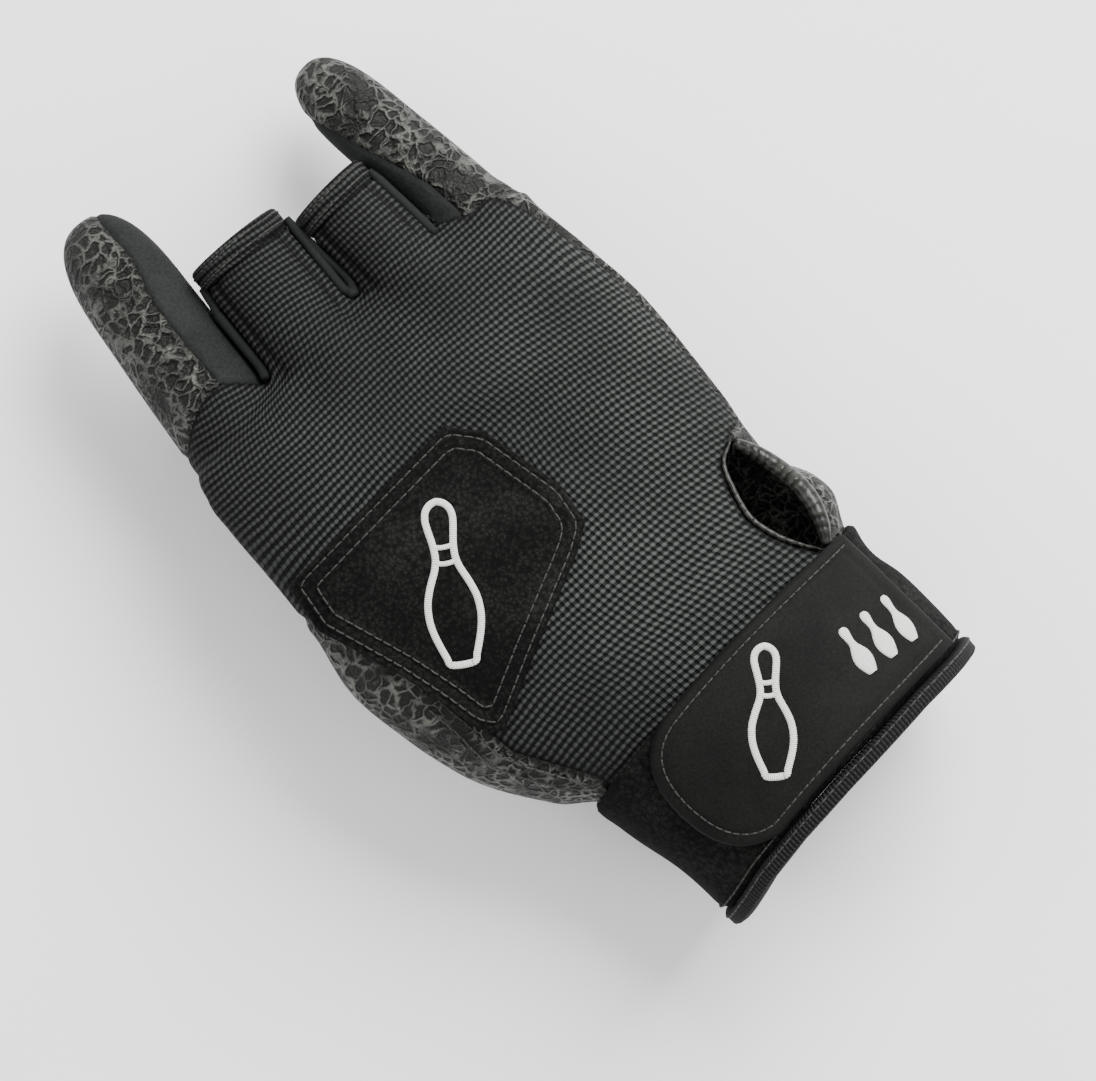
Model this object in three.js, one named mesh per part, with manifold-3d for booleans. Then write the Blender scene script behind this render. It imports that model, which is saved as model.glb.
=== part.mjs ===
// A bowling glove in the form it has in use: a ribbed knit back, a textured palm, two closed finger stalls,
// two open finger sleeves, an open thumb hole and a wrist cuff with a closure strap.
// Millimetres. +Y points to the stalls' tips, +X to the little stall's side, +Z out of the knit back.
// The origin is the middle of the wrist opening.
import * as THREE from "three";
import { LoftGeometry } from "three/addons/geometries/LoftGeometry.js";
import { mergeVertices } from "three/addons/utils/BufferGeometryUtils.js";
import Module from "manifold-3d";

const wasm = await Module();
wasm.setup();

// Driving dimensions of the body
const PALM_LENGTH = 133; // middle of the wrist opening to the webs between the stalls and sleeves
const BODY_BREADTH = 100; // across the palm at its widest place
const BODY_DEPTH = 54; // back to palm at the wrist
const WALL = 1.6; // knit and palm material
const GAP = 0.3; // between touching pieces
const ROUND_SIDES = 36; // points round a section of the body

// Driving dimensions of the stalls and sleeves. The root, inside the body, is in shares of its breadth,
// length and depth; lean turns one to the +X side and droop bends it to the palm, both in degrees.
const FINGERS = {
  index: { length: 90, width: 23.2, depth: 20.5, root: [-0.422, 0.737, 0.12], lean: 9, droop: 6 },
  middle: { length: 58, width: 22.2, depth: 20.5, root: [-0.145, 0.771, 0.157], lean: 6, droop: 6 },
  ring: { length: 53, width: 18.4, depth: 18.2, root: [0.131, 0.756, 0.144], lean: 0, droop: 6 },
  little: { length: 78, width: 18, depth: 17.4, root: [0.332, 0.744, 0], lean: -3.2, droop: 7 },
};
const FINGER_SIDES = 18;
const DROOP_START = 0.4; // share of the droop that a stall or sleeve has at its root
const LEAST_HALF = 0.8; // half the breadth of the smallest section, at a stall's tip
const HEM_WIDTH = 4; // turned hem of an open sleeve
const HEM_EXTRA = 0.7; // how far it stands out of the sleeve

// Driving dimensions of the openings. The thumb hole's middle is in shares of the body's breadth, length
// and depth, and turn is how far its axis points below level, in degrees.
const THUMB_HOLE = { length: 46, height: 34, middle: [-0.455, 0.579, -0.148], turn: 38 };
const BORE_INSIDE = 0.3; // how far its bore starts inside the middle, a share of the depth
const BINDING_RADIUS = 1.3;
const PIPING_RADIUS = 2.1;
const RIM_RADIUS = 0.8;
const CORD_END = 0.4; // thickness of the piping and the rim at their ends, a share of that in the middle
const CORD_STEPS = 16; // steps along an edge of the slit
const CORD_TRIM = 2; // steps left off each end, where the edges meet

// Driving dimensions of what is sewn on
const PATCH_THICKNESS = 1.3;
const CUFF_HEIGHT = 33.5; // of the loop band, over the middle of the back
const CUFF_LOW = -8.9; // where the loop band's lower edge lies there
const CUFF_TUCK = 7; // how far the glove's own edge is tucked under the cuff band
const CUFF_THICKNESS = 2.4;
const CUFF_BINDING_HEIGHT = 4;
const CUFF_BINDING_EXTRA = 0.6;
const STRAP_THICKNESS = 1.8;
const STRAP_WIDTH = 35.4;
const STRAP_CORNER = 12; // radius of the rounded end's corners
const STRAP_TIP = -0.284; // its rounded end, a share of the breadth
const STRAP_ROOT = 0.364; // its sewn end, a share of the breadth
const STRAP_MIDDLE = 0.528; // its middle, a share of the cuff's height
const STRAP_TAPER = 1.2; // how much nearer the middle its edges lie at the sewn end

// Edges of the cuff across the back: the first column is a share of the breadth, the second of the cuff's
// height above its lower edge
const CUFF_TOP_EDGE = [[-0.41, 0.878], [-0.3, 0.952], [-0.18, 0.994], [0.1, 1.006], [0.4, 1]];
const CUFF_BOTTOM_EDGE = [
  [-0.37, -0.149], [-0.26, -0.063], [-0.15, -0.021], [0, 0], [0.25, 0.012], [0.4, -0.009],
];

// Sections of the body, from below the wrist to the webs: at is a share of the palm's length, thumb and
// little are shares of the breadth, top, bottom and level (height of the widest place) are shares of the
// depth, square says how boxy the section is, skew leans the crest to the thumb side as a share of the
// breadth, and tilt lowers the other side as a slope.
const BODY_COLUMNS = ["at", "thumb", "little", "top", "bottom", "level", "square", "skew", "tilt"];
const BODY_ROWS = [
  [-0.14, -0.343, 0.366, 0.45, -0.45, 0.0, 2.3, 0.0, 0],
  [0.0, -0.348, 0.378, 0.455, -0.45, 0.01, 2.3, 0.0, 0],
  [0.075, -0.367, 0.377, 0.46, -0.455, 0.01, 2.3, 0.0, 0],
  [0.13, -0.378, 0.366, 0.465, -0.46, 0.02, 2.3, 0.0, 0],
  [0.158, -0.387, 0.372, 0.468, -0.465, 0.02, 2.3, 0.01, 0],
  [0.2, -0.447, 0.398, 0.47, -0.47, 0.03, 2.3, 0.01, 0],
  [0.24, -0.482, 0.427, 0.472, -0.475, 0.03, 2.3, 0.02, 0],
  [0.275, -0.51, 0.424, 0.472, -0.475, 0.04, 2.3, 0.02, 0],
  [0.325, -0.54, 0.402, 0.47, -0.47, 0.05, 2.3, 0.03, 0.01],
  [0.385, -0.56, 0.389, 0.468, -0.46, 0.06, 2.35, 0.04, 0.02],
  [0.47, -0.576, 0.408, 0.46, -0.44, 0.08, 2.4, 0.05, 0.03],
  [0.56, -0.582, 0.424, 0.45, -0.41, 0.1, 2.4, 0.06, 0.04],
  [0.68, -0.545, 0.44, 0.44, -0.35, 0.12, 2.4, 0.06, 0.06],
  [0.79, -0.528, 0.432, 0.425, -0.28, 0.12, 2.4, 0.05, 0.07],
  [0.88, -0.52, 0.42, 0.345, -0.21, 0.11, 2.5, 0.03, 0.09],
  [0.94, -0.507, 0.412, 0.275, -0.14, 0.09, 2.6, 0.02, 0.11],
  [0.98, -0.47, 0.38, 0.22, -0.06, 0.08, 2.5, 0.01, 0.12],
  [0.995, -0.42, 0.33, 0.16, 0, 0.08, 2.3, 0, 0.12],
];

// Sections of the stalls and sleeves: a share of the length, and a share of the width and depth there
const STALL_PROFILE = [
  [0, 0.86], [0.2, 0.97], [0.4, 1.02], [0.58, 1.0], [0.76, 0.95], [0.87, 0.87], [0.94, 0.73], [0.98, 0.52],
  [1, 0.26],
];
const SLEEVE_PROFILE = [[0, 0.88], [0.25, 0.98], [0.5, 1.01], [0.8, 1.0], [1, 0.98]];

// Outline of the patch, x and y in shares of the breadth and the palm's length, with its corners rounded
const PATCH_OUTLINE = [
  [-0.532, 0.668], [-0.51, 0.752], [-0.052, 0.752], [0.0, 0.7], [0.03, 0.555], [0.012, 0.49],
  [-0.043, 0.466], [-0.25, 0.405], [-0.414, 0.353], [-0.45, 0.386], [-0.462, 0.452], [-0.482, 0.53],
];

// Edge of the knit on the thumb side, and the two edges of the slit with the knit's edge above and below
// it, in the same shares
const KNIT_THUMB_EDGE = [
  [-0.35, 0.1], [-0.35, 0.19], [-0.44, 0.32], [-0.445, 0.4], [-0.45, 0.46], [-0.47, 0.53], [-0.5, 0.66],
  [-0.56, 0.71], [-0.8, 0.71],
];
const SLIT_KNIT_EDGE = [
  [0.34, 0.414], [0.298, 0.4], [0.272, 0.366], [0.25, 0.311], [0.26, 0.264], [0.282, 0.226], [0.312, 0.19],
];
const SLIT_PALM_EDGE = [
  [0.342, 0.19], [0.374, 0.226], [0.394, 0.268], [0.396, 0.318], [0.384, 0.37], [0.362, 0.41],
];
const KNIT_ABOVE_SLIT = [[0.9, 0.44], [0.364, 0.424]];
const KNIT_BELOW_SLIT = [[0.326, 0.178], [0.326, 0.1]];

// Seams of the stalls: the edge of the textured piece at the knit, and the seam to the smooth side panel
const INDEX_BASE = [[-0.56, 1.0], [-0.493, 1.01], [-0.43, 1.038], [-0.38, 1.053], [-0.314, 1.055]];
const INDEX_SIDE_SEAM = [[-0.314, 1.055], [-0.307, 1.13], [-0.293, 1.214], [-0.255, 1.3], [-0.24, 1.45]];
const LITTLE_BASE = [[0.298, 0.962], [0.35, 0.963], [0.4, 0.943], [0.46, 0.93]];
const LITTLE_SIDE_SEAM = [
  [0.298, 0.962], [0.293, 1.042], [0.271, 1.105], [0.246, 1.171], [0.21, 1.28], [0.2, 1.36],
];
const WEB_INDEX = [-0.236, 1.0];
const WEB_LITTLE = [0.236, 0.94];
const SIDE_REACH = 0.3; // how far below its seam's start a side panel's region reaches

// Height of the side seam between back and palm, a share of the depth, against a share of the palm's length
const SEAM_ROWS = [[-0.2, 0.06], [0.4, 0.06], [0.7, 0.1], [0.95, 0.1], [1.2, 0.02], [1.6, -0.06]];

const group = new THREE.Group();

// Solids and meshes

function solidOf(geometry) {
  const plain = new THREE.BufferGeometry();
  plain.setAttribute("position", geometry.getAttribute("position"));
  plain.setIndex(geometry.getIndex());
  const merged = mergeVertices(plain, 1e-3);
  const vertProperties = merged.attributes.position.array;
  const triVerts = new Uint32Array(merged.index.array);
  return new wasm.Manifold(new wasm.Mesh({ numProp: 3, vertProperties, triVerts }));
}

function addPiece(name, solid, color, roughness) {
  const mesh = solid.getMesh();
  const geometry = new THREE.BufferGeometry();
  const corners = new Float32Array(mesh.numVert * 3);
  for (let i = 0; i < mesh.numVert; i++) {
    const from = i * mesh.numProp;
    corners.set(mesh.vertProperties.subarray(from, from + 3), i * 3);
  }
  geometry.setAttribute("position", new THREE.BufferAttribute(corners, 3));
  geometry.setIndex(new THREE.BufferAttribute(mesh.triVerts, 1));
  const material = new THREE.MeshStandardMaterial({ color, roughness, metalness: 0 });
  const piece = new THREE.Mesh(geometry, material);
  piece.name = name;
  group.add(piece);
}

// The largest body of a solid, without the slivers that a cut leaves
function largest(solid) {
  return solid.decompose().reduce((a, b) => (b.volume() > a.volume() ? b : a));
}

// Reads a table of shares at any place, straight between its rows
function lookUp(rows, at) {
  const last = rows.length - 1;
  if (at <= rows[0][0]) return rows[0][1];
  if (at >= rows[last][0]) return rows[last][1];
  const i = rows.findIndex((row) => row[0] > at);
  const share = (at - rows[i - 1][0]) / (rows[i][0] - rows[i - 1][0]);
  return THREE.MathUtils.lerp(rows[i - 1][1], rows[i][1], share);
}

// The body

// The body's section at a place along the glove, with straight growth between the rows
function bodySection(y) {
  const at = y / PALM_LENGTH;
  const read = (name) => lookUp(BODY_ROWS.map((row) => [row[0], row[BODY_COLUMNS.indexOf(name)]]), at);
  const left = read("thumb") * BODY_BREADTH;
  const right = read("little") * BODY_BREADTH;
  return {
    middle: (left + right) / 2,
    half: (right - left) / 2,
    top: read("top") * BODY_DEPTH,
    bottom: read("bottom") * BODY_DEPTH,
    level: read("level") * BODY_DEPTH,
    square: read("square"),
    skew: read("skew") * BODY_BREADTH,
    tilt: read("tilt"),
  };
}

// A point of the body's surface, at an angle round the section from the +X side over the back
function bodyPoint(angle, y, offset) {
  const s = bodySection(y);
  const c = Math.cos(angle);
  const n = Math.sin(angle);
  const height = (n > 0 ? s.top - s.level : s.level - s.bottom) + offset;
  const across = Math.sign(c) * Math.abs(c) ** (2 / s.square) * (s.half + offset);
  const rise = Math.sign(n) * Math.abs(n) ** (2 / s.square);
  const z = s.level + rise * height - s.tilt * across;
  return new THREE.Vector3(s.middle + across - Math.max(rise, 0) * s.skew, y, z);
}

// Whether a place is inside the body
function insideBody(p) {
  const s = bodySection(p.y);
  const guess = p.z - s.level + s.tilt * (p.x - s.middle);
  const rise = guess / (guess > 0 ? s.top - s.level : s.level - s.bottom);
  const across = (p.x - s.middle + Math.min(Math.max(rise, 0), 1) * s.skew) / s.half;
  return Math.abs(rise) ** s.square + Math.abs(across) ** s.square < 1;
}

// The first point of the body's surface on a line that comes from outside
function bodyHit(outside, direction) {
  const step = 0.25;
  const p = outside.clone();
  for (let i = 0; i < 800 && !insideBody(p); i++) p.addScaledVector(direction, step);
  return p.addScaledVector(direction, -step / 2);
}

const bodyAngles = Array.from({ length: ROUND_SIDES }, (_, i) => (-i / ROUND_SIDES) * 2 * Math.PI);

function loft(rings) {
  return solidOf(new LoftGeometry(rings, { capStart: true, capEnd: true }));
}

// The body grown by an offset, cut square at two heights
function bodySolid(offset, from, to = PALM_LENGTH) {
  const heights = BODY_ROWS.map((row) => row[0] * PALM_LENGTH).filter((y) => y > from + 1 && y < to - 1);
  const end = Math.min(to, BODY_ROWS[BODY_ROWS.length - 1][0] * PALM_LENGTH);
  const rings = [from, ...heights, end].map((y) => bodyAngles.map((angle) => bodyPoint(angle, y, offset)));
  return loft(rings);
}

// A place given in shares of the body's breadth, length and depth
const spot = ([x, y, z]) => new THREE.Vector3(x * BODY_BREADTH, y * PALM_LENGTH, z * BODY_DEPTH);

// The stalls and sleeves

function fingerPoint(finger, along) {
  const lean = THREE.MathUtils.degToRad(finger.lean);
  const bent = DROOP_START + ((1 - DROOP_START) * along) / finger.length;
  const droop = THREE.MathUtils.degToRad(finger.droop) * bent;
  return spot(finger.root).add(
    new THREE.Vector3(Math.sin(lean) * along, Math.cos(lean) * along, -Math.sin(droop) * along),
  );
}

function fingerRing(finger, along, share, offset) {
  const lean = THREE.MathUtils.degToRad(finger.lean);
  const middle = fingerPoint(finger, along);
  const across = new THREE.Vector3(Math.cos(lean), -Math.sin(lean), 0);
  const ring = [];
  for (let i = 0; i < FINGER_SIDES; i++) {
    const angle = (-i / FINGER_SIDES) * 2 * Math.PI;
    const half = Math.max((share * finger.width) / 2 + offset, LEAST_HALF);
    const rise = Math.max((share * finger.depth) / 2 + offset, LEAST_HALF);
    const point = middle.clone().addScaledVector(across, Math.cos(angle) * half);
    point.z += Math.sin(angle) * rise;
    ring.push(point);
  }
  return ring;
}

function fingerSolid(name, offset, endShift = 0) {
  const finger = FINGERS[name];
  const profile = name === "index" || name === "little" ? STALL_PROFILE : SLEEVE_PROFILE;
  return loft(profile.map(([share, w]) => fingerRing(finger, share * (finger.length + endShift), w, offset)));
}

// The turned hem at the end of an open sleeve
function hemSolid(name) {
  const { length } = FINGERS[name];
  const [, share] = SLEEVE_PROFILE[SLEEVE_PROFILE.length - 1];
  const ring = (along, offset) => fingerRing(FINGERS[name], along, share, offset);
  const outer = loft([ring(length - HEM_WIDTH, HEM_EXTRA), ring(length, HEM_EXTRA)]);
  const inner = loft([ring(length - HEM_WIDTH - 1, -WALL), ring(length + 1, -WALL)]);
  return outer.subtract(inner);
}

// Prisms through the glove, from an outline seen from the back

function prism(points, low = -BODY_DEPTH, high = BODY_DEPTH) {
  const shape = new THREE.Shape(points);
  const geometry = new THREE.ExtrudeGeometry(shape, { depth: high - low, bevelEnabled: false });
  geometry.translate(0, 0, low);
  return solidOf(geometry);
}

const place = ([x, y]) => new THREE.Vector2(x * BODY_BREADTH, y * PALM_LENGTH);

// Moves a closed outline outwards by a distance, its corners with it
function grown(points, distance) {
  const turn = THREE.ShapeUtils.isClockWise(points) ? -1 : 1;
  return points.map((point, i) => {
    const before = points[(i + points.length - 1) % points.length];
    const after = points[(i + 1) % points.length];
    const a = point.clone().sub(before).normalize();
    const b = after.clone().sub(point).normalize();
    const normal = new THREE.Vector2(a.y + b.y, -a.x - b.x).normalize();
    const stretch = Math.max(normal.dot(new THREE.Vector2(a.y, -a.x)), 0.5);
    return point.clone().addScaledVector(normal, (turn * distance) / stretch);
  });
}

// Everything above the side seam, raised by a distance
function aboveSeam(raise) {
  const far = BODY_BREADTH;
  const rings = SEAM_ROWS.map(([at, share]) => {
    const y = at * PALM_LENGTH;
    const z = share * BODY_DEPTH + raise;
    const corner = (x, height) => new THREE.Vector3(x, y, height);
    return [corner(far, z), corner(-far, z), corner(-far, BODY_DEPTH), corner(far, BODY_DEPTH)];
  });
  return loft(rings);
}

// An even layer over the body, between two offsets
function bodyLayer(low, high, from, to) {
  return bodySolid(high, from, to).subtract(bodySolid(low, from - 1, to + 1));
}

// A round cord along a closed or open route; out is a direction that never runs along it
function cord(route, radius, out, closed, sides = 8) {
  const rings = route.map((point, i) => {
    const before = closed ? route[(i + route.length - 1) % route.length] : route[Math.max(i - 1, 0)];
    const after = closed ? route[(i + 1) % route.length] : route[Math.min(i + 1, route.length - 1)];
    const along = after.clone().sub(before).normalize();
    const aside = new THREE.Vector3().crossVectors(along, out).normalize();
    const up = new THREE.Vector3().crossVectors(aside, along);
    const size = typeof radius === "function" ? radius(i / (route.length - 1)) : radius;
    return Array.from({ length: sides }, (_, k) => {
      const angle = (k / sides) * 2 * Math.PI;
      return point
        .clone()
        .addScaledVector(aside, Math.cos(angle) * size)
        .addScaledVector(up, Math.sin(angle) * size);
    }).reverse();
  });
  if (closed) return solidOf(new LoftGeometry([...rings, rings[0]]));
  return loft(rings);
}

// The thumb opening

const holeTurn = THREE.MathUtils.degToRad(THUMB_HOLE.turn);
const holeAxis = new THREE.Vector3(-Math.cos(holeTurn), 0, -Math.sin(holeTurn));
const holeUp = new THREE.Vector3(-Math.sin(holeTurn), 0, Math.cos(holeTurn));
const holeMiddle = spot(THUMB_HOLE.middle);

// A ring of the opening's bore, grown by an offset, at a distance out along its axis
function holeRing(offset, out, sides = 28) {
  return Array.from({ length: sides }, (_, i) => {
    const angle = (-i / sides) * 2 * Math.PI;
    const point = holeMiddle.clone().addScaledVector(holeAxis, out);
    point.y += Math.cos(angle) * (THUMB_HOLE.length / 2 + offset);
    return point.addScaledVector(holeUp, Math.sin(angle) * (THUMB_HOLE.height / 2 + offset));
  });
}

function thumbBore(offset) {
  return loft([holeRing(offset, -BORE_INSIDE * BODY_DEPTH), holeRing(offset, BODY_DEPTH)]);
}

function thumbBinding() {
  const inwards = holeAxis.clone().negate();
  const onWall = (start) => bodyHit(start, inwards).addScaledVector(inwards, WALL / 2);
  const route = holeRing(0, BODY_DEPTH).map(onWall);
  return cord(route, BINDING_RADIUS, holeAxis, true);
}

// The slit above the cuff

const slitOutline = [...SLIT_KNIT_EDGE, ...SLIT_PALM_EDGE].map(place);

// A cord on the body's surface inside an edge of the slit; side is the way from that edge into the slit, and
// steep is how much less than its radius it stands in, where the surface falls away
function edgeCord(edge, side, radius, sides, steep) {
  const down = new THREE.Vector3(0, 0, -1);
  const taper = (share) => radius * (CORD_END + (1 - CORD_END) * Math.sin(Math.PI * share) ** 0.6);
  const places = new THREE.SplineCurve(edge.map(place)).getPoints(CORD_STEPS).slice(CORD_TRIM, -CORD_TRIM);
  const route = places.map((p, i) => {
    const inwards = side * (taper(i / (places.length - 1)) * steep + 3 * GAP);
    return bodyHit(new THREE.Vector3(p.x + inwards, p.y, BODY_DEPTH), down);
  });
  return cord(route, taper, new THREE.Vector3(0, 0, 1), false, sides);
}

// The whole shell

const WRIST_EDGE = CUFF_LOW + CUFF_HEIGHT - CUFF_TUCK;
const sleeveStop = -HEM_WIDTH - GAP;
const hollow = bodySolid(-WALL, WRIST_EDGE - 1, PALM_LENGTH - WALL)
  .add(fingerSolid("index", -WALL, -WALL))
  .add(fingerSolid("little", -WALL, -WALL))
  .add(fingerSolid("middle", -WALL, 1))
  .add(fingerSolid("ring", -WALL, 1));
const shell = bodySolid(0, WRIST_EDGE)
  .add(fingerSolid("index", 0))
  .add(fingerSolid("little", 0))
  .add(fingerSolid("middle", 0, sleeveStop))
  .add(fingerSolid("ring", 0, sleeveStop))
  .subtract(hollow)
  .subtract(thumbBore(BINDING_RADIUS + GAP))
  .subtract(prism(slitOutline, 0));

// The index and little stalls, each with a smooth panel on the side of its neighbour

// Shares of the breadth and the palm's length that lie outside the glove
const far = 0.9;
const beyond = 1.6;
const clear = 0.05; // keeps the wall of a region off the surface that it holds

// What belongs to a stall: it, grown by a distance, past the line where it is sewn on
function stallRegion(name, base, distance) {
  const ends = [[far, beyond], [-far, beyond]];
  const web = name === "index" ? [WEB_INDEX, [far, WEB_INDEX[1]]] : [[-far, WEB_LITTLE[1]], WEB_LITTLE];
  const line = name === "index" ? [...base, ...web] : [...web, ...base];
  const outline = grown([...line, ...ends].map(place), distance);
  return fingerSolid(name, distance + clear, WALL).intersect(prism(outline));
}

// What belongs to a side panel: everything on its neighbour's side of a seam
function panelRegion(seam, side, distance) {
  const [x, y] = seam[0];
  const outline = [...seam, [side * far, beyond], [side * far, y - SIDE_REACH], [x, y - SIDE_REACH]];
  return prism(grown(outline.map(place), distance));
}

const textured = 0x34352f;
const smooth = 0x3c3e3d;
const knit = 0x3a3e3a;

const stalls = [
  { name: "index", base: INDEX_BASE, seam: INDEX_SIDE_SEAM, side: 1 },
  { name: "little", base: LITTLE_BASE, seam: LITTLE_SIDE_SEAM, side: -1 },
];
for (const { name, base, seam, side } of stalls) {
  const stall = shell.intersect(stallRegion(name, base, 0));
  const skin = largest(stall.subtract(panelRegion(seam, side, GAP)));
  const panel = largest(stall.intersect(panelRegion(seam, side, 0)));
  addPiece(`${name}_stall`, skin, textured, 0.55);
  addPiece(`${name}_side_panel`, panel, smooth, 0.6);
}

// The knit back and the palm

const backOutline = [
  ...KNIT_THUMB_EDGE, [-far, beyond], [far, beyond],
  ...KNIT_ABOVE_SLIT, ...SLIT_KNIT_EDGE, ...KNIT_BELOW_SLIT,
].map(place);
const rest = shell
  .subtract(stallRegion("index", INDEX_BASE, GAP))
  .subtract(stallRegion("little", LITTLE_BASE, GAP));
const back = rest.intersect(prism(backOutline)).intersect(aboveSeam(0));
const palm = rest.subtract(prism(grown(backOutline, GAP)).intersect(aboveSeam(-GAP)));
addPiece("back_panel", largest(back), knit, 0.9);
addPiece("palm_panel", largest(palm), textured, 0.55);

addPiece("middle_hem", hemSolid("middle"), knit, 0.9);
addPiece("ring_hem", hemSolid("ring"), knit, 0.9);

// Trim of the openings

addPiece("thumb_binding", thumbBinding(), smooth, 0.6);
addPiece("slit_piping", edgeCord(SLIT_PALM_EDGE, -1, PIPING_RADIUS, 8, 0.5), 0x55584e, 0.35);
addPiece("slit_rim", edgeCord(SLIT_KNIT_EDGE, 1, RIM_RADIUS, 6, 1), 0x6a6c60, 0.5);

// The patch

const patchOutline = PATCH_OUTLINE.map(place);
const patchEnds = patchOutline.map((point) => point.y);
const patchLow = Math.min(...patchEnds) - HEM_WIDTH;
const patchHigh = Math.max(...patchEnds) + HEM_WIDTH;
const patchLayer = bodyLayer(GAP, GAP + PATCH_THICKNESS, patchLow, patchHigh);
addPiece("thumb_patch", largest(patchLayer.intersect(prism(patchOutline, 0))), 0x262626, 0.95);

// The cuff

const edgeAt = (edge, x) => CUFF_LOW + CUFF_HEIGHT * lookUp(edge, x / BODY_BREADTH);

const cuffOutside = GAP + CUFF_THICKNESS;

// A layer that runs round the wrist between two edges and two offsets, with a station at each share
function cuffLayer(lower, upper, inner, outer, shares) {
  const sections = bodyAngles.map((angle) => {
    const { x } = bodyPoint(angle, 0, cuffOutside);
    const heights = shares.map((share) => THREE.MathUtils.lerp(lower(x), upper(x), share));
    const wall = (offset) => heights.map((y) => bodyPoint(angle, y, offset));
    return [...wall(inner), ...wall(outer).reverse()];
  });
  return solidOf(new LoftGeometry([...sections, sections[0]]));
}

const cuffTop = (x) => edgeAt(CUFF_TOP_EDGE, x);
const cuffBottom = (x) => edgeAt(CUFF_BOTTOM_EDGE, x);
const bindingTop = (x) => cuffBottom(x) - GAP;
const bindingBottom = (x) => cuffBottom(x) - CUFF_BINDING_HEIGHT;
const bindingOutside = cuffOutside + CUFF_BINDING_EXTRA;
const cuffShares = [0, 0.25, 0.5, 0.75, 1];
addPiece("cuff_band", cuffLayer(cuffBottom, cuffTop, GAP, cuffOutside, cuffShares), 0x1c1c1c, 0.95);
addPiece("cuff_binding", cuffLayer(bindingBottom, bindingTop, 0, bindingOutside, [0, 1]), 0x2c2e2a, 0.85);

// The closure strap, with a rounded end and a slight crown on its upper edge

function strapOutline() {
  const middle = CUFF_LOW + CUFF_HEIGHT * STRAP_MIDDLE;
  const tip = STRAP_TIP * BODY_BREADTH;
  const root = STRAP_ROOT * BODY_BREADTH;
  const half = STRAP_WIDTH / 2;
  const narrow = half - STRAP_TAPER;
  const shape = new THREE.Shape();
  shape.moveTo(root, middle - narrow);
  shape.lineTo(root, middle + narrow);
  shape.quadraticCurveTo((root + tip) / 2, middle + half + STRAP_TAPER, tip + STRAP_CORNER, middle + narrow);
  shape.quadraticCurveTo(tip, middle + half - STRAP_CORNER / 4, tip, middle);
  shape.quadraticCurveTo(tip, middle - half + STRAP_CORNER / 6, tip + STRAP_CORNER, middle - half);
  shape.quadraticCurveTo((root + tip) / 2, middle - half + 2 * STRAP_TAPER, root, middle - narrow);
  return shape.getPoints(7);
}

const strapInside = cuffOutside + GAP;
const strapOutside = strapInside + STRAP_THICKNESS;
const strapLayer = cuffLayer(cuffBottom, cuffTop, strapInside, strapOutside, [-0.1, ...cuffShares, 1.2]);
addPiece("closure_strap", largest(strapLayer.intersect(prism(strapOutline(), 0))), 0x2b2b2a, 0.5);

export default group;
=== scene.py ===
"""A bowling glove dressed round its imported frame: a ribbed knit back, a textured palm and stalls, a patch
and a cuff with a closure strap. Tables and widths are millimetres until a piece is made; +Y runs to the tips
of the stalls, +X to the little stall's side, +Z out of the knit back.
"""
import math

import bpy
import numpy as np
from bpy.props import FloatProperty, FloatVectorProperty, PointerProperty
from mathutils import Matrix, Vector
from mathutils.bvhtree import BVHTree


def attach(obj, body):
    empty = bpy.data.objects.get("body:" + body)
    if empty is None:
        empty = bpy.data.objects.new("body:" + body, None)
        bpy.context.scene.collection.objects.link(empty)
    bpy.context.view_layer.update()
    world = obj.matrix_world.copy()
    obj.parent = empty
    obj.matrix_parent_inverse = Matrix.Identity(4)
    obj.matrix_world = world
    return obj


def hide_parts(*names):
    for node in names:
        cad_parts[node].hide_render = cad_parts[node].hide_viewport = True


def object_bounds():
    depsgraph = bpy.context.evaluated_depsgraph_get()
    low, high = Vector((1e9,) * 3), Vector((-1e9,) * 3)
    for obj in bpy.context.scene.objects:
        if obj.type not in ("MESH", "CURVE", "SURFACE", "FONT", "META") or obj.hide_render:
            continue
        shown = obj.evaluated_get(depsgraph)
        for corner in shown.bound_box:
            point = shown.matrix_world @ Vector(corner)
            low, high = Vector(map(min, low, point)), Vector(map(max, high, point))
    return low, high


bl_info = {
    "name": "Bowling Glove",
    "version": (1, 0, 0),
    "blender": (4, 5, 0),
    "location": "3D View > Sidebar > Glove",
    "description": "Dresses a bowling glove round its frame, piece by piece",
    "category": "Object",
}

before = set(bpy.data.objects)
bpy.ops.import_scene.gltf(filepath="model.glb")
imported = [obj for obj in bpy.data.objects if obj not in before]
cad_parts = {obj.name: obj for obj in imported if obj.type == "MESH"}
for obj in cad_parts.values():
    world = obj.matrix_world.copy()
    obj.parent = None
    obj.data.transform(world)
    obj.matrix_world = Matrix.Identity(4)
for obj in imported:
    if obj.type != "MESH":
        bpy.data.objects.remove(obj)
CAD_BOX = [list(corner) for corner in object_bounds()]
MM = 0.001
FULL_TURN = 2 * math.pi

# Driving dimensions of the body
PALM_LENGTH = 133
BODY_BREADTH = 100
BODY_DEPTH = 54

# The stalls and sleeves, with the root in shares of the body's breadth, length and depth, and the lean and the
# droop in degrees
FINGERS = {
    "index": dict(length=90, width=23.2, depth=20.5, root=(-0.422, 0.737, 0.12), lean=9, droop=6),
    "middle": dict(length=58, width=22.2, depth=20.5, root=(-0.145, 0.771, 0.157), lean=6, droop=6),
    "ring": dict(length=53, width=18.4, depth=18.2, root=(0.131, 0.756, 0.144), lean=0, droop=6),
    "little": dict(length=78, width=18, depth=17.4, root=(0.332, 0.744, 0), lean=-3.2, droop=7),
}
ALL = tuple(FINGERS)
# How far along the glove each of them goes into the body's own mesh
FINGER_REACH = dict(index=150, middle=190, ring=190, little=137)
DROOP_START = 0.4
TIP_START = 0.74
TIP_SQUARE = 2.5
SLEEVE_OVERRUN = 3
WEB_BLEND = 4.0
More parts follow.
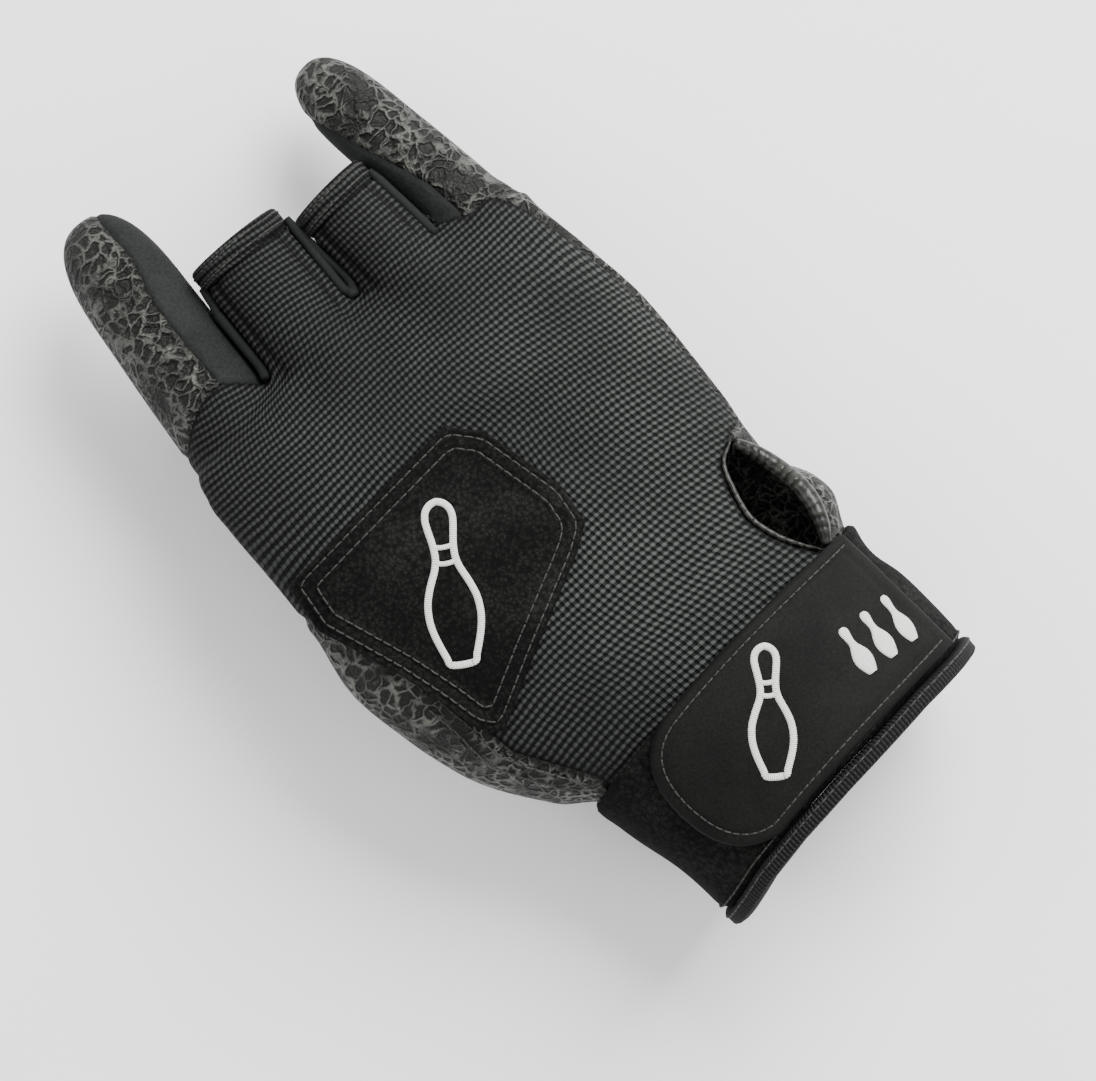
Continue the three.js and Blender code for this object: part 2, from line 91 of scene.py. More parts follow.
# The step with which a distance is probed, and how often a net is evened out
PROBE = 0.15
RELAXING_ROUNDS = 3
HEM_WIDTH = 5.0

THUMB_HOLE = dict(length=46, height=34, middle=(-0.455, 0.579, -0.148), turn=38)

CUFF_HEIGHT = 33.5
CUFF_LOW = -8.9
CUFF_TUCK = 7
CUFF_INNER = 0.3
CUFF_OUTER = 2.7
CUFF_BINDING_HEIGHT = 4
STRAP_INNER = 3.0
STRAP_OUTER = 4.8
STRAP_WIDTH = 35.4
STRAP_CORNER = 12
STRAP_TIP = -0.284
STRAP_ROOT = 0.364
STRAP_MIDDLE = 0.528
STRAP_TAPER = 1.2
STRAP_SEAM = 2.3
STRAP_STITCH = 1.9
CUFF_TOP_EDGE = [(-0.41, 0.878), (-0.3, 0.952), (-0.18, 0.994), (0.1, 1.006), (0.4, 1)]
CUFF_BOTTOM_EDGE = [(-0.37, -0.149), (-0.26, -0.063), (-0.15, -0.021), (0, 0), (0.25, 0.012), (0.4, -0.009)]

# Sections of the body: place along it, thumb side, little side, top, bottom, level of the widest place,
# squareness, skew of the crest and tilt, in shares of its length, breadth and depth
BODY_ROWS = [
    (-0.14, -0.343, 0.366, 0.45, -0.45, 0.0, 2.3, 0.0, 0),
    (0.0, -0.348, 0.378, 0.455, -0.45, 0.01, 2.3, 0.0, 0),
    (0.075, -0.367, 0.377, 0.46, -0.455, 0.01, 2.3, 0.0, 0),
    (0.13, -0.378, 0.366, 0.465, -0.46, 0.02, 2.3, 0.0, 0),
    (0.158, -0.387, 0.372, 0.468, -0.465, 0.02, 2.3, 0.01, 0),
    (0.2, -0.447, 0.398, 0.47, -0.47, 0.03, 2.3, 0.01, 0),
    (0.24, -0.482, 0.427, 0.472, -0.475, 0.03, 2.3, 0.02, 0),
    (0.275, -0.51, 0.424, 0.472, -0.475, 0.04, 2.3, 0.02, 0),
    (0.325, -0.54, 0.402, 0.47, -0.47, 0.05, 2.3, 0.03, 0.01),
    (0.385, -0.56, 0.389, 0.468, -0.46, 0.06, 2.35, 0.04, 0.02),
    (0.47, -0.576, 0.408, 0.46, -0.44, 0.08, 2.4, 0.05, 0.03),
    (0.56, -0.582, 0.424, 0.45, -0.41, 0.1, 2.4, 0.06, 0.04),
    (0.68, -0.545, 0.44, 0.44, -0.35, 0.12, 2.4, 0.06, 0.06),
    (0.79, -0.528, 0.432, 0.425, -0.28, 0.12, 2.4, 0.05, 0.07),
    (0.88, -0.52, 0.42, 0.345, -0.21, 0.11, 2.5, 0.03, 0.09),
    (0.94, -0.507, 0.412, 0.275, -0.14, 0.09, 2.6, 0.02, 0.11),
    (0.98, -0.47, 0.38, 0.22, -0.06, 0.08, 2.5, 0.01, 0.12),
    (0.995, -0.42, 0.33, 0.16, 0, 0.08, 2.3, 0, 0.12),
]
STALL_PROFILE = [(0, 0.86), (0.2, 0.97), (0.4, 1.02), (0.58, 1.0), (0.74, 0.96), (1.1, 0.96)]
SLEEVE_PROFILE = [(0, 0.88), (0.25, 0.98), (0.5, 1.01), (0.8, 1.0), (1, 0.98), (1.2, 0.98)]

# Outlines seen from the back, in shares of the breadth and the palm's length
PATCH_OUTLINE = [
    (-0.532, 0.668), (-0.51, 0.752), (-0.052, 0.752), (0.0, 0.7), (0.03, 0.555), (0.012, 0.49),
    (-0.043, 0.466), (-0.25, 0.405), (-0.414, 0.353), (-0.45, 0.386), (-0.462, 0.452), (-0.482, 0.53),
]
KNIT_THUMB_EDGE = [
    (-0.35, 0.1), (-0.35, 0.19), (-0.44, 0.32), (-0.445, 0.4), (-0.45, 0.46), (-0.47, 0.53), (-0.5, 0.66),
    (-0.56, 0.71), (-0.8, 0.71),
]
STRIP_LINE = [(-0.36, 0.2), (-0.44, 0.32), (-0.445, 0.4), (-0.45, 0.46)]
SLIT_KNIT_EDGE = [
    (0.34, 0.414), (0.298, 0.4), (0.272, 0.366), (0.25, 0.311), (0.26, 0.264), (0.282, 0.226), (0.312, 0.19),
]
SLIT_PALM_EDGE = [(0.342, 0.19), (0.374, 0.226), (0.394, 0.268), (0.396, 0.318), (0.384, 0.37), (0.362, 0.41)]
KNIT_ABOVE_SLIT = [(0.9, 0.44), (0.364, 0.424)]
KNIT_BELOW_SLIT = [(0.326, 0.178), (0.326, 0.1)]
INDEX_BASE = [(-0.56, 1.0), (-0.493, 1.01), (-0.43, 1.038), (-0.38, 1.053), (-0.314, 1.055)]
INDEX_SIDE_SEAM = [(-0.314, 1.055), (-0.307, 1.13), (-0.293, 1.214), (-0.255, 1.3), (-0.24, 1.45)]
LITTLE_BASE = [(0.298, 0.962), (0.35, 0.963), (0.4, 0.943), (0.46, 0.93)]
LITTLE_SIDE_SEAM = [(0.298, 0.962), (0.293, 1.042), (0.271, 1.105), (0.246, 1.171), (0.21, 1.28), (0.2, 1.36)]
WEB_INDEX = (-0.236, 1.0)
WEB_LITTLE = (0.236, 0.94)
SEAM_ROWS = [(-0.2, 0.06), (0.4, 0.06), (0.7, 0.1), (0.95, 0.1), (1.2, 0.02), (1.6, -0.06)]
FAR = 0.9
BEYOND = 1.6

# The picture: straight down on the back, with the glove turned so that +Y points up and to the left
PICTURE_SIZE = (1096, 1081)
PIXELS_PER_MM = 4.7
PICTURE_TURN = 44.3
SENSOR_WIDTH = 36
PICTURE_MIDDLE = (-7.0, 68.0)

# Distance between knit rows and between columns, in millimetres, against the place along the glove
ROW_PITCH = [(-30, 1.58), (50, 1.55), (95, 1.47), (130, 1.34), (200, 1.28)]
COLUMN_PITCH = [(-30, 1.6), (30, 1.52), (57, 1.38), (90, 1.28), (115, 1.2), (200, 1.17)]


# Tables, outlines and distances

def read_table(rows, at):
    """Reads a table of numbers at any places, on a smooth curve through its rows"""
    rows = np.array(rows, float)
    places, values = rows[:, 0], rows[:, 1:]
    slopes = np.gradient(values, places, axis=0)
    at = np.clip(at, places[0], places[-1])
    i = np.clip(np.searchsorted(places, at, side="right") - 1, 0, len(places) - 2)
    step = (places[i + 1] - places[i])[..., None]
    t = (at - places[i])[..., None] / step
    start = (1 + 2 * t) * (1 - t) ** 2 * values[i] + t * (1 - t) ** 2 * step * slopes[i]
    end = t * t * (3 - 2 * t) * values[i + 1] + t * t * (t - 1) * step * slopes[i + 1]
    return start + end


def smooth_step(low, high, x):
    """0 up to low, 1 from high on and smooth between them"""
    t = np.clip((x - low) / (high - low), 0, 1)
    return t * t * (3 - 2 * t)


def even_angles(count):
    """Angles that share out a full turn"""
    return np.arange(count) * FULL_TURN / count


def bell(x, width):
    """1 where x is nought, and falling off on both sides over about that width"""
    return np.exp(-((x / width) ** 2))


def rounding(edge, width):
    """A quarter of a circle, from 0 at an edge to 1 at a width inside it"""
    return np.sqrt(1 - (1 - np.clip(edge / width, 0, 1)) ** 2)


def place(shares):
    """Points seen from the back, from shares of the breadth and the palm's length"""
    return np.array(shares, float) * (BODY_BREADTH, PALM_LENGTH)


def spot(shares):
    """Points of the body, from shares of its breadth, length and depth"""
    return np.array(shares, float) * (BODY_BREADTH, PALM_LENGTH, BODY_DEPTH)


def curve_through(points, steps, closed=False):
    """A smooth curve through points, with even steps between each two of them"""
    points = np.array(points, float)
    count = len(points) if closed else len(points) - 1
    if closed:
        points = np.vstack([points[-2:], points, points[:3]])
    rows = np.column_stack([np.arange(len(points)) - (2 if closed else 0), points])
    made = read_table(rows, np.linspace(0, count, steps * count + 1))
    return made[:-1] if closed else made


def lengths_along(route):
    """The distance from a route's start to each of its points"""
    return np.concatenate([[0], np.cumsum(np.linalg.norm(np.diff(route, axis=0), axis=1))])


def even_route(points, pitch, closed=False):
    """Points an even distance apart along a route"""
    points = np.array(points, float)
    if closed:
        points = np.vstack([points, points[:1]])
    lengths = lengths_along(points)
    count = max(2, round(lengths[-1] / pitch))
    at = np.linspace(0, lengths[-1], count + 1)
    made = np.column_stack([np.interp(at, lengths, column) for column in points.T])
    return made[:-1] if closed else made


def outline_depth(outline, p):
    """How deep places lie inside a closed outline seen from the back, negative outside it"""
    outline = np.array(outline, float)
    x, y = p[:, 0], p[:, 1]
    nearest = np.full(len(p), np.inf)
    inside = np.zeros(len(p), bool)
    for (ax, ay), (bx, by) in zip(outline, np.roll(outline, -1, axis=0)):
        dx, dy = bx - ax, by - ay
        t = np.clip(((x - ax) * dx + (y - ay) * dy) / (dx * dx + dy * dy), 0, 1)
        nearest = np.minimum(nearest, np.hypot(x - ax - t * dx, y - ay - t * dy))
        if ay != by:
            inside ^= ((ay > y) != (by > y)) & (x < ax + (y - ay) / dy * dx)
    return np.where(inside, nearest, -nearest)


def grown(outline, distance):
    """A closed outline moved outwards by a distance"""
    outline = np.array(outline, float)
    before, after = np.roll(outline, 1, axis=0), np.roll(outline, -1, axis=0)
    a = (outline - before) / np.linalg.norm(outline - before, axis=1)[:, None]
    b = (after - outline) / np.linalg.norm(after - outline, axis=1)[:, None]
    normal = np.column_stack([a[:, 1] + b[:, 1], -a[:, 0] - b[:, 0]])
    normal /= np.linalg.norm(normal, axis=1)[:, None]
    stretch = np.maximum(np.sum(normal * np.column_stack([a[:, 1], -a[:, 0]]), axis=1), 0.5)
    area = np.sum(outline[:, 0] * after[:, 1] - after[:, 0] * outline[:, 1])
    return outline + normal / stretch[:, None] * distance * np.sign(area)


# The form of the glove as distances from its surface

def body_section(y):
    """The measures of the body's section at places along it"""
    row = read_table(BODY_ROWS, y / PALM_LENGTH)
    left, right = row[..., 0] * BODY_BREADTH, row[..., 1] * BODY_BREADTH
    return dict(
        middle=(left + right) / 2,
        half=(right - left) / 2,
        top=row[..., 2] * BODY_DEPTH,
        bottom=row[..., 3] * BODY_DEPTH,
        level=row[..., 4] * BODY_DEPTH,
        square=row[..., 5],
        skew=row[..., 6] * BODY_BREADTH,
        tilt=row[..., 7],
    )


def body_distance(p):
    """How far places lie outside the body, negative inside it"""
    s = body_section(p[:, 1])
    up = p[:, 2] - s["level"] + s["tilt"] * (p[:, 0] - s["middle"])
    height = np.where(up > 0, s["top"] - s["level"], s["level"] - s["bottom"])
    rise = up / height
    aside = p[:, 0] - s["middle"] + np.clip(rise, 0, 1) * s["skew"]
    radius = (np.abs(rise) ** s["square"] + np.abs(aside / s["half"]) ** s["square"]) ** (1 / s["square"])
    out = np.hypot(aside, up)
    distance = out * (1 - 1 / np.maximum(radius, 1e-4))
    return np.maximum(distance, p[:, 1] - BODY_ROWS[-1][0] * PALM_LENGTH)


def body_point(angle, y, offset):
    """A point of the body's surface, at an angle round its section from the +X side over the back"""
    s = body_section(y)
    c, n = np.cos(angle), np.sin(angle)
    height = np.where(n > 0, s["top"] - s["level"], s["level"] - s["bottom"]) + offset
    aside = np.sign(c) * np.abs(c) ** (2 / s["square"]) * (s["half"] + offset)
    rise = np.sign(n) * np.abs(n) ** (2 / s["square"])
    z = s["level"] + rise * height - s["tilt"] * aside
    return np.stack([s["middle"] + aside - np.maximum(rise, 0) * s["skew"], y + 0 * z, z], -1)


def droop(name, along):
    """How far a stall or sleeve has sunk below its root, at distances along it"""
    f = FINGERS[name]
    angle = math.radians(f["droop"]) * (DROOP_START + (1 - DROOP_START) * along / f["length"])
    return np.sin(angle) * along


def finger_place(name, p):
    """The way along a stall or sleeve, across it and up from its middle line"""
    lean = math.radians(FINGERS[name]["lean"])
    root = spot(FINGERS[name]["root"])
    dx, dy = p[:, 0] - root[0], p[:, 1] - root[1]
    along = dx * math.sin(lean) + dy * math.cos(lean)
    aside = dx * math.cos(lean) - dy * math.sin(lean)
    return along, aside, p[:, 2] - root[2] + droop(name, along)


def finger_points(name, along, aside, rise):
    """Points at distances along a stall or sleeve, across it and up from its middle line"""
    lean = math.radians(FINGERS[name]["lean"])
    root = spot(FINGERS[name]["root"])
    x = root[0] + math.sin(lean) * along + math.cos(lean) * aside
    y = root[1] + math.cos(lean) * along - math.sin(lean) * aside
    z = root[2] - droop(name, along) + rise
    return np.column_stack(np.broadcast_arrays(x, y, z))


def finger_distance(name, p):
    """How far places lie outside a closed stall or an open sleeve, which runs on past its end"""
    f = FINGERS[name]
    along, aside, up = finger_place(name, p)
    share = along / f["length"]
    closed = name in ("index", "little")
    size = read_table(STALL_PROFILE if closed else SLEEVE_PROFILE, share)[:, 0]
    radius = np.hypot(aside / (size * f["width"] / 2), up / (size * f["depth"] / 2))
    out = np.hypot(aside, up)
    if closed:
        tip = np.maximum(share - TIP_START, 0) / (1 - TIP_START)
        radius = (radius**TIP_SQUARE + tip**TIP_SQUARE) ** (1 / TIP_SQUARE)
        out = np.hypot(out, tip * (1 - TIP_START) * f["length"])
    distance = out * (1 - 1 / np.maximum(radius, 1e-4))
    if not closed:
        distance = np.maximum(distance, along - f["length"] - SLEEVE_OVERRUN)
    return np.maximum(distance, -along)


def blended(a, b, width):
    """The nearer of two distances, with the corner between them rounded over a width"""
    share = np.clip(0.5 + 0.5 * (b - a) / width, 0, 1)
    return b + (a - b) * share - width * share * (1 - share)


def glove_distance(p, names, cut=True):
    """How far places lie outside the body with the stalls and sleeves of those names"""
    distance = body_distance(p)
    for name in names:
        finger = finger_distance(name, p)
        if cut:
            finger = np.maximum(finger, p[:, 1] - FINGER_REACH[name])
        distance = blended(distance, finger, WEB_BLEND)
    return distance


def whole_glove(p):
    """How far places lie outside the whole glove"""
    return glove_distance(p, ALL)


def slope(field, p):
    """How fast a distance grows along each axis"""
    steps = np.eye(3) * PROBE
    return np.column_stack([(field(p + step) - field(p - step)) / (2 * PROBE) for step in steps])


def gradient(field, p):
    """The direction in which a distance grows"""
    way = slope(field, p)
    return way / np.maximum(np.linalg.norm(way, axis=1), 1e-9)[:, None]


def settle(field, p, rounds):
    """Moves places onto the surface where a distance is nought"""
    for _ in range(rounds):
        way = slope(field, p)
        size = np.maximum(np.sum(way**2, axis=1), 0.25)
        p = p - np.clip(field(p) / size, -1, 1)[:, None] * way
    return p


# Triangle meshes

class Surface:
    """A triangle mesh in millimetres, with values at its corners that every cut carries along"""

    def __init__(self, points, faces, **values):
        self.points, self.faces, self.values = points, faces, values

    def __getitem__(self, name):
        return self.values[name]

    def __setitem__(self, name, value):
        self.values[name] = value

    def _kept(self, faces):
        used, numbers = np.unique(faces, return_inverse=True)
        values = {name: value[used] for name, value in self.values.items()}
        return Surface(self.points[used], numbers.reshape(-1, 3), **values)

    def cut(self, depth):
        """The part where depth is above nought, with an edge along the line where it is nought"""
        depth = np.where(np.abs(depth) < 0.04, np.copysign(0.04, depth), depth)
        inside = depth > 0
        count = inside[self.faces].sum(1)
        made, new_a, new_b = [self.faces[count == 3]], [], []
        total = len(self.points)
        for wanted in (1, 2):
            faces = self.faces[count == wanted]
            odd = inside[faces] if wanted == 1 else ~inside[faces]
            turn = np.argmax(odd, axis=1)
            rolled = np.stack([faces[np.arange(len(faces)), (turn + k) % 3] for k in range(3)], 1)
            first = total + np.arange(len(faces))
            second = first + len(faces)
            total += 2 * len(faces)
            new_a += [rolled[:, 0], rolled[:, 0]]
            new_b += [rolled[:, 1], rolled[:, 2]]
            if wanted == 1:
                made.append(np.stack([rolled[:, 0], first, second], 1))
            else:
                made.append(np.stack([first, rolled[:, 1], rolled[:, 2]], 1))
                made.append(np.stack([first, rolled[:, 2], second], 1))
        a, b = np.concatenate(new_a), np.concatenate(new_b)
        low, high = np.minimum(a, b), np.maximum(a, b)
        _, at, back = np.unique(low * len(self.points) + high, return_index=True, return_inverse=True)
        low, high = low[at], high[at]
        t = depth[low] / (depth[low] - depth[high])

        def mixed(value):
            share = t if value.ndim == 1 else t[:, None]
            return np.concatenate([value, value[low] * (1 - share) + value[high] * share])

        numbers = np.concatenate([np.arange(len(self.points)), len(self.points) + back.reshape(-1)])
        faces = numbers[np.vstack(made)]
        values = {name: mixed(value) for name, value in self.values.items()}
        return Surface(mixed(self.points), faces, **values)._kept(faces)

    def largest(self):
        """The largest piece, without the slivers that a cut leaves"""
        label = np.arange(len(self.points))
        while True:
            low = label[self.faces].min(1)
            fresh = label.copy()
            for k in range(3):
                np.minimum.at(fresh, self.faces[:, k], low)
            fresh = fresh[fresh]
            if np.array_equal(fresh, label):
                break
            label = fresh
        names, counts = np.unique(label[self.faces[:, 0]], return_counts=True)
        return self._kept(self.faces[label[self.faces[:, 0]] == names[np.argmax(counts)]])

    def pairs(self):
        """The edges of all triangles, each in the direction of its triangle"""
        a, b, c = self.faces.T
        return np.column_stack([np.concatenate([a, b, c]), np.concatenate([b, c, a])])

    def refined(self):
        """Each triangle as four, with the new corners halfway"""
        edges = np.sort(self.pairs(), axis=1)
        keys = edges[:, 0] * len(self.points) + edges[:, 1]
        _, at, back = np.unique(keys, return_index=True, return_inverse=True)
        low, high = edges[at].T
        a, b, c = self.faces.T
        ab, bc, ca = len(self.points) + back.reshape(3, -1)
        parts = ((a, ab, ca), (ab, b, bc), (ca, bc, c), (ab, bc, ca))
        faces = np.vstack([np.stack(part, 1) for part in parts])

        def halfway(value):
            return np.concatenate([value, (value[low] + value[high]) / 2])

        values = {name: halfway(value) for name, value in self.values.items()}
        return Surface(halfway(self.points), faces, **values)

    def edge_pairs(self):
        """The open edges, each in the direction of its triangle"""
        pairs = self.pairs()
        size = len(self.points)
        keys = pairs[:, 0] * size + pairs[:, 1]
        return pairs[~np.isin(keys, pairs[:, 1] * size + pairs[:, 0])]

    def thickened(self, wall):
        """A closed solid: this surface, another one a wall's thickness inside it and a rim between them"""
        size = len(self.points)
        a, b = self.edge_pairs().T
        rim = [np.stack([b, a, a + size], 1), np.stack([b, a + size, b + size], 1)]
        faces = np.vstack([self.faces, self.faces[:, ::-1] + size, *rim])
        inner = self.points - self["normal"] * (wall if np.ndim(wall) == 0 else wall[:, None])
        values = {name: np.concatenate([value, value]) for name, value in self.values.items()}
        return Surface(np.vstack([self.points, inner]), faces, **values)


def net(field, low, high, step):
    """Triangles over the surface where a distance is nought, with a corner in each cell that it crosses"""
    axes = [np.arange(a, b + step, step) for a, b in zip(low, high)]
    grid = np.stack(np.meshgrid(*axes, indexing="ij"), -1)
    f = field(grid.reshape(-1, 3)).reshape(grid.shape[:3])
    cells = np.array(f.shape) - 1
    total, count = np.zeros((cells.prod(), 3)), np.zeros(cells.prod())
    faces = []
    for axis in range(3):
        e, g = (axis + 1) % 3, (axis + 2) % 3
        ahead = np.take(f, range(1, f.shape[axis]), axis)
        behind = np.take(f, range(f.shape[axis] - 1), axis)
        at = np.argwhere((ahead < 0) != (behind < 0))
        at = at[(at[:, e] > 0) & (at[:, g] > 0) & (at[:, e] < cells[e]) & (at[:, g] < cells[g])]
        f0, f1 = behind[tuple(at.T)], ahead[tuple(at.T)]
        where = grid[tuple(at.T)] + (f0 / (f0 - f1))[:, None] * step * np.eye(3)[axis]
        corners = []
        for back_e, back_g in ((1, 1), (0, 1), (0, 0), (1, 0)):
            cell = at.copy()
            cell[:, e] -= back_e
            cell[:, g] -= back_g
            number = np.ravel_multi_index(tuple(cell.T), cells)
            np.add.at(total, number, where)
            np.add.at(count, number, 1)
            corners.append(number)
        quads = np.stack(corners, 1)
        faces.append(np.where((f0 < 0)[:, None], quads, quads[:, ::-1]))
    quads = np.vstack(faces)
    used, numbers = np.unique(quads, return_inverse=True)
    quads = numbers.reshape(-1, 4)
    points = total[used] / count[used][:, None]
    one_way = np.linalg.norm(points[quads[:, 0]] - points[quads[:, 2]], axis=1)
    other_way = np.linalg.norm(points[quads[:, 1]] - points[quads[:, 3]], axis=1)
    near = (one_way < other_way)[:, None]
    one = np.where(near, quads[:, [0, 1, 2]], quads[:, [0, 1, 3]])
    two = np.where(near, quads[:, [0, 2, 3]], quads[:, [1, 2, 3]])
    return Surface(points, np.vstack([one, two]))


def relaxed(surface, field):
    """Evens out the corners of a net, back on its surface each time"""
    a, b = surface.pairs().T
    count = np.bincount(a, minlength=len(surface.points))[:, None]
    for _ in range(RELAXING_ROUNDS):
        total = np.zeros_like(surface.points)
        np.add.at(total, a, surface.points[b])
        moved = 0.5 * surface.points + 0.5 * total / np.maximum(count, 1)
        surface.points = settle(field, moved, 1)
    surface.points = settle(field, surface.points, 2)
    surface["normal"] = gradient(field, surface.points)
    return surface


def glove_net(names, low, high, step, cut):
    """The even net of the body or of a stall, in the box between two corners"""

    def field(p):
        return glove_distance(p, names, cut)

    return relaxed(net(field, low, high, step), field)


# Noise without textures, for folds in the meshes

def waves(p, length, seed):
    """A smooth random height between about -1 and 1, with bumps of about a given length"""
    count = 9
    random = np.random.default_rng(seed)
    directions = random.normal(size=(count, 3))
    directions /= np.linalg.norm(directions, axis=1)[:, None]
    scales = FULL_TURN / length * random.uniform(0.6, 1.5, count)
    shifts = random.uniform(0, FULL_TURN, count)
    return np.sin(p @ (directions * scales[:, None]).T + shifts).sum(1) / math.sqrt(count)


# Panels of the glove, as depths inside their seams

BACK_OUTLINE = place(
    KNIT_THUMB_EDGE + [(-FAR, BEYOND), (FAR, BEYOND)] + KNIT_ABOVE_SLIT + SLIT_KNIT_EDGE + KNIT_BELOW_SLIT
)
SLIT_OUTLINE = place(SLIT_KNIT_EDGE + SLIT_PALM_EDGE)
WRIST_EDGE = CUFF_LOW + CUFF_HEIGHT - CUFF_TUCK
# How far a side panel's outline runs below its seam, in shares of the palm's length, how far the thumb hole
# reaches in past its middle, in shares of the depth, the room left round the hole, and how near to a stall's
# own surface its parts are cut
SIDE_REACH = 0.3
BORE_INSIDE = 0.3
BORE_CLEAR = 0.6
NEAR = 0.8

hole_turn = math.radians(THUMB_HOLE["turn"])
HOLE_AXIS = np.array([-math.cos(hole_turn), 0, -math.sin(hole_turn)])
HOLE_UP = np.array([-math.sin(hole_turn), 0, math.cos(hole_turn)])
HOLE_MIDDLE = spot(THUMB_HOLE["middle"])


def seam_height(y):
    """The height of the seam between the knit and the palm"""
    return np.interp(y / PALM_LENGTH, *zip(*SEAM_ROWS)) * BODY_DEPTH


def stall_depth(name, p):
    """How deep places lie inside a stall's own part, past the line where it is sewn on"""
    ends = [(FAR, BEYOND), (-FAR, BEYOND)]
    if name == "index":
        line = INDEX_BASE + [WEB_INDEX, (FAR, WEB_INDEX[1])]
    else:
        line = [(-FAR, WEB_LITTLE[1]), WEB_LITTLE] + LITTLE_BASE
    return np.minimum(NEAR - finger_distance(name, p), outline_depth(place(line + ends), p))


def side_depth(name, p):
    """How deep places lie inside a stall's smooth side panel, past its seam"""
    seam, side = (INDEX_SIDE_SEAM, 1) if name == "index" else (LITTLE_SIDE_SEAM, -1)
    x, y = seam[0]
    ends = [(side * FAR, BEYOND), (side * FAR, y - SIDE_REACH), (x, y - SIDE_REACH)]
    return outline_depth(place(seam + ends), p)


def slit_depth(p):
    """How deep places lie inside the slit above the cuff"""
    return np.minimum(outline_depth(SLIT_OUTLINE, p), p[:, 2])


def bore_depth(p):
    """How deep places lie inside the thumb hole"""
    from_middle = p - HOLE_MIDDLE
    half_length = THUMB_HOLE["length"] / 2 + BORE_CLEAR
    half_height = THUMB_HOLE["height"] / 2 + BORE_CLEAR
    ring = np.hypot(from_middle[:, 1] / half_length, from_middle @ HOLE_UP / half_height)
    return np.minimum((1 - ring) * half_height, from_middle @ HOLE_AXIS + BORE_INSIDE * BODY_DEPTH)


def open_ends(p):
    """How far places lie from the open ends: the wrist's and the two sleeves'"""
    depth = p[:, 1] - WRIST_EDGE
    for name in ("middle", "ring"):
        along = finger_place(name, p)[0]
        end = np.maximum(FINGERS[name]["length"] - HEM_WIDTH - along, finger_distance(name, p) - 1)
        depth = np.minimum(depth, end)
    return depth


def panel_depths(p):
    """How deep places lie inside the knit back and inside the palm"""
    knit = np.minimum(outline_depth(BACK_OUTLINE, p), p[:, 2] - seam_height(p[:, 1]))
    others = np.minimum(-stall_depth("index", p), -stall_depth("little", p))
    others = np.minimum(others, open_ends(p))
    palm = np.minimum.reduce([-knit, others, -slit_depth(p), -bore_depth(p)])
    return np.minimum(knit, others), palm


# The forms in each net, the corners of its box, its step and whether the forms end at their reach
NETS = {
    "body": (ALL, (-63, 10, -30), (48, 168, 33), 1.0, True),
    "index": (("index",), (-54, 108, -17), (-12, 193, 22), 0.8, False),
    "little": (("little",), (12, 98, -19), (46, 182, 18), 0.8, False),
}
made_nets = {}


def glove_surface(name="body"):
    """The whole outer surface of the body or of a stall, made once"""
    if name not in made_nets:
        made_nets[name] = glove_net(*NETS[name])
    found = made_nets[name]
    values = {key: value.copy() for key, value in found.values.items()}
    return Surface(found.points.copy(), found.faces, **values)


def on_back(places, lift):
    """The glove's back under places seen from above, raised off it, with its normals"""
    heights = np.arange(34, -16, -0.5)
    xy = np.array(places, float)
    grid = np.column_stack([np.repeat(xy, len(heights), axis=0), np.tile(heights, len(xy))])
    first = np.argmax(whole_glove(grid).reshape(len(xy), -1) < 0, axis=1)
    high, low = heights[first - 1], heights[first]
    for _ in range(12):
        middle = (high + low) / 2
        inside = whole_glove(np.column_stack([xy, middle])) < 0
        high, low = np.where(inside, high, middle), np.where(inside, middle, low)
    p = np.column_stack([xy, (high + low) / 2])
    normal = gradient(whole_glove, p)
    return p + normal * lift, normal


# Knit coordinates: the number of the column and of the row at each place

row_places = np.arange(-30, 200, 0.5)
row_numbers = np.concatenate([[0], np.cumsum(0.5 / np.interp(row_places[:-1] + 0.25, *zip(*ROW_PITCH)))])


def knit_place(p):
    """The columns fan out from the crest and the rows bend across the glove, both straight on the sleeves"""
    s = body_section(p[:, 1])
    crest = s["middle"] - s["skew"]
    dx = p[:, 0] - crest
    fall = np.maximum(s["top"] - p[:, 2] - 0.12 * np.abs(dx), 0)
    column = 0.4 * crest + np.sign(dx) * np.hypot(dx, fall)
    row = p[:, 1].copy()
    for name in ALL:
        along, aside, up = finger_place(name, p)
        f = FINGERS[name]
        root = spot(f["root"])
        fall_here = np.maximum(f["depth"] / 2 - up - 0.1 * np.abs(aside), 0)
        here = np.sign(aside) * np.hypot(aside, fall_here) + root[0]
        near = smooth_step(8, -2, finger_distance(name, p)) * smooth_step(22, 42, along)
        column = column * (1 - near) + here * near
        row = row * (1 - near) + (root[1] + along) * near
    pitch = np.interp(p[:, 1], *zip(*COLUMN_PITCH))
    low = 1 - smooth_step(95, 118, p[:, 1])
    bend = (0.055 + 0.015 * low) * p[:, 0] + 0.0021 * low * p[:, 0] ** 2
    bend = bend + 0.35 * np.sin(p[:, 0] / 9 + p[:, 1] / 23)
    swirl = bell(p[:, 0] - 4, 17) * bell(p[:, 1] - 97, 16)
    column = column + 1.6 * swirl * np.sin((p[:, 1] - 99) / 8)
    return column / pitch, np.interp(row + bend, row_places, row_numbers)


def knit_values(p):
    """The column, the row, and a value that grows towards the sleeves and the thumb's side: how far the knit
    is pulled there, which thins its columns, and how much painted shade darkens it
    """
    columns, rows = knit_place(p)
    to_sleeves = smooth_step(92, 130, p[:, 1])
    to_thumb = smooth_step(-4, -42, p[:, 0])
    # Pull of the knit and painted shade in one value, strongest on the thumb's side
    drawn_and_shade = np.maximum(0.9 * to_sleeves, 1.25 * to_thumb)
    return np.column_stack([columns, rows, drawn_and_shade])


# Blender objects

made_faces = {}


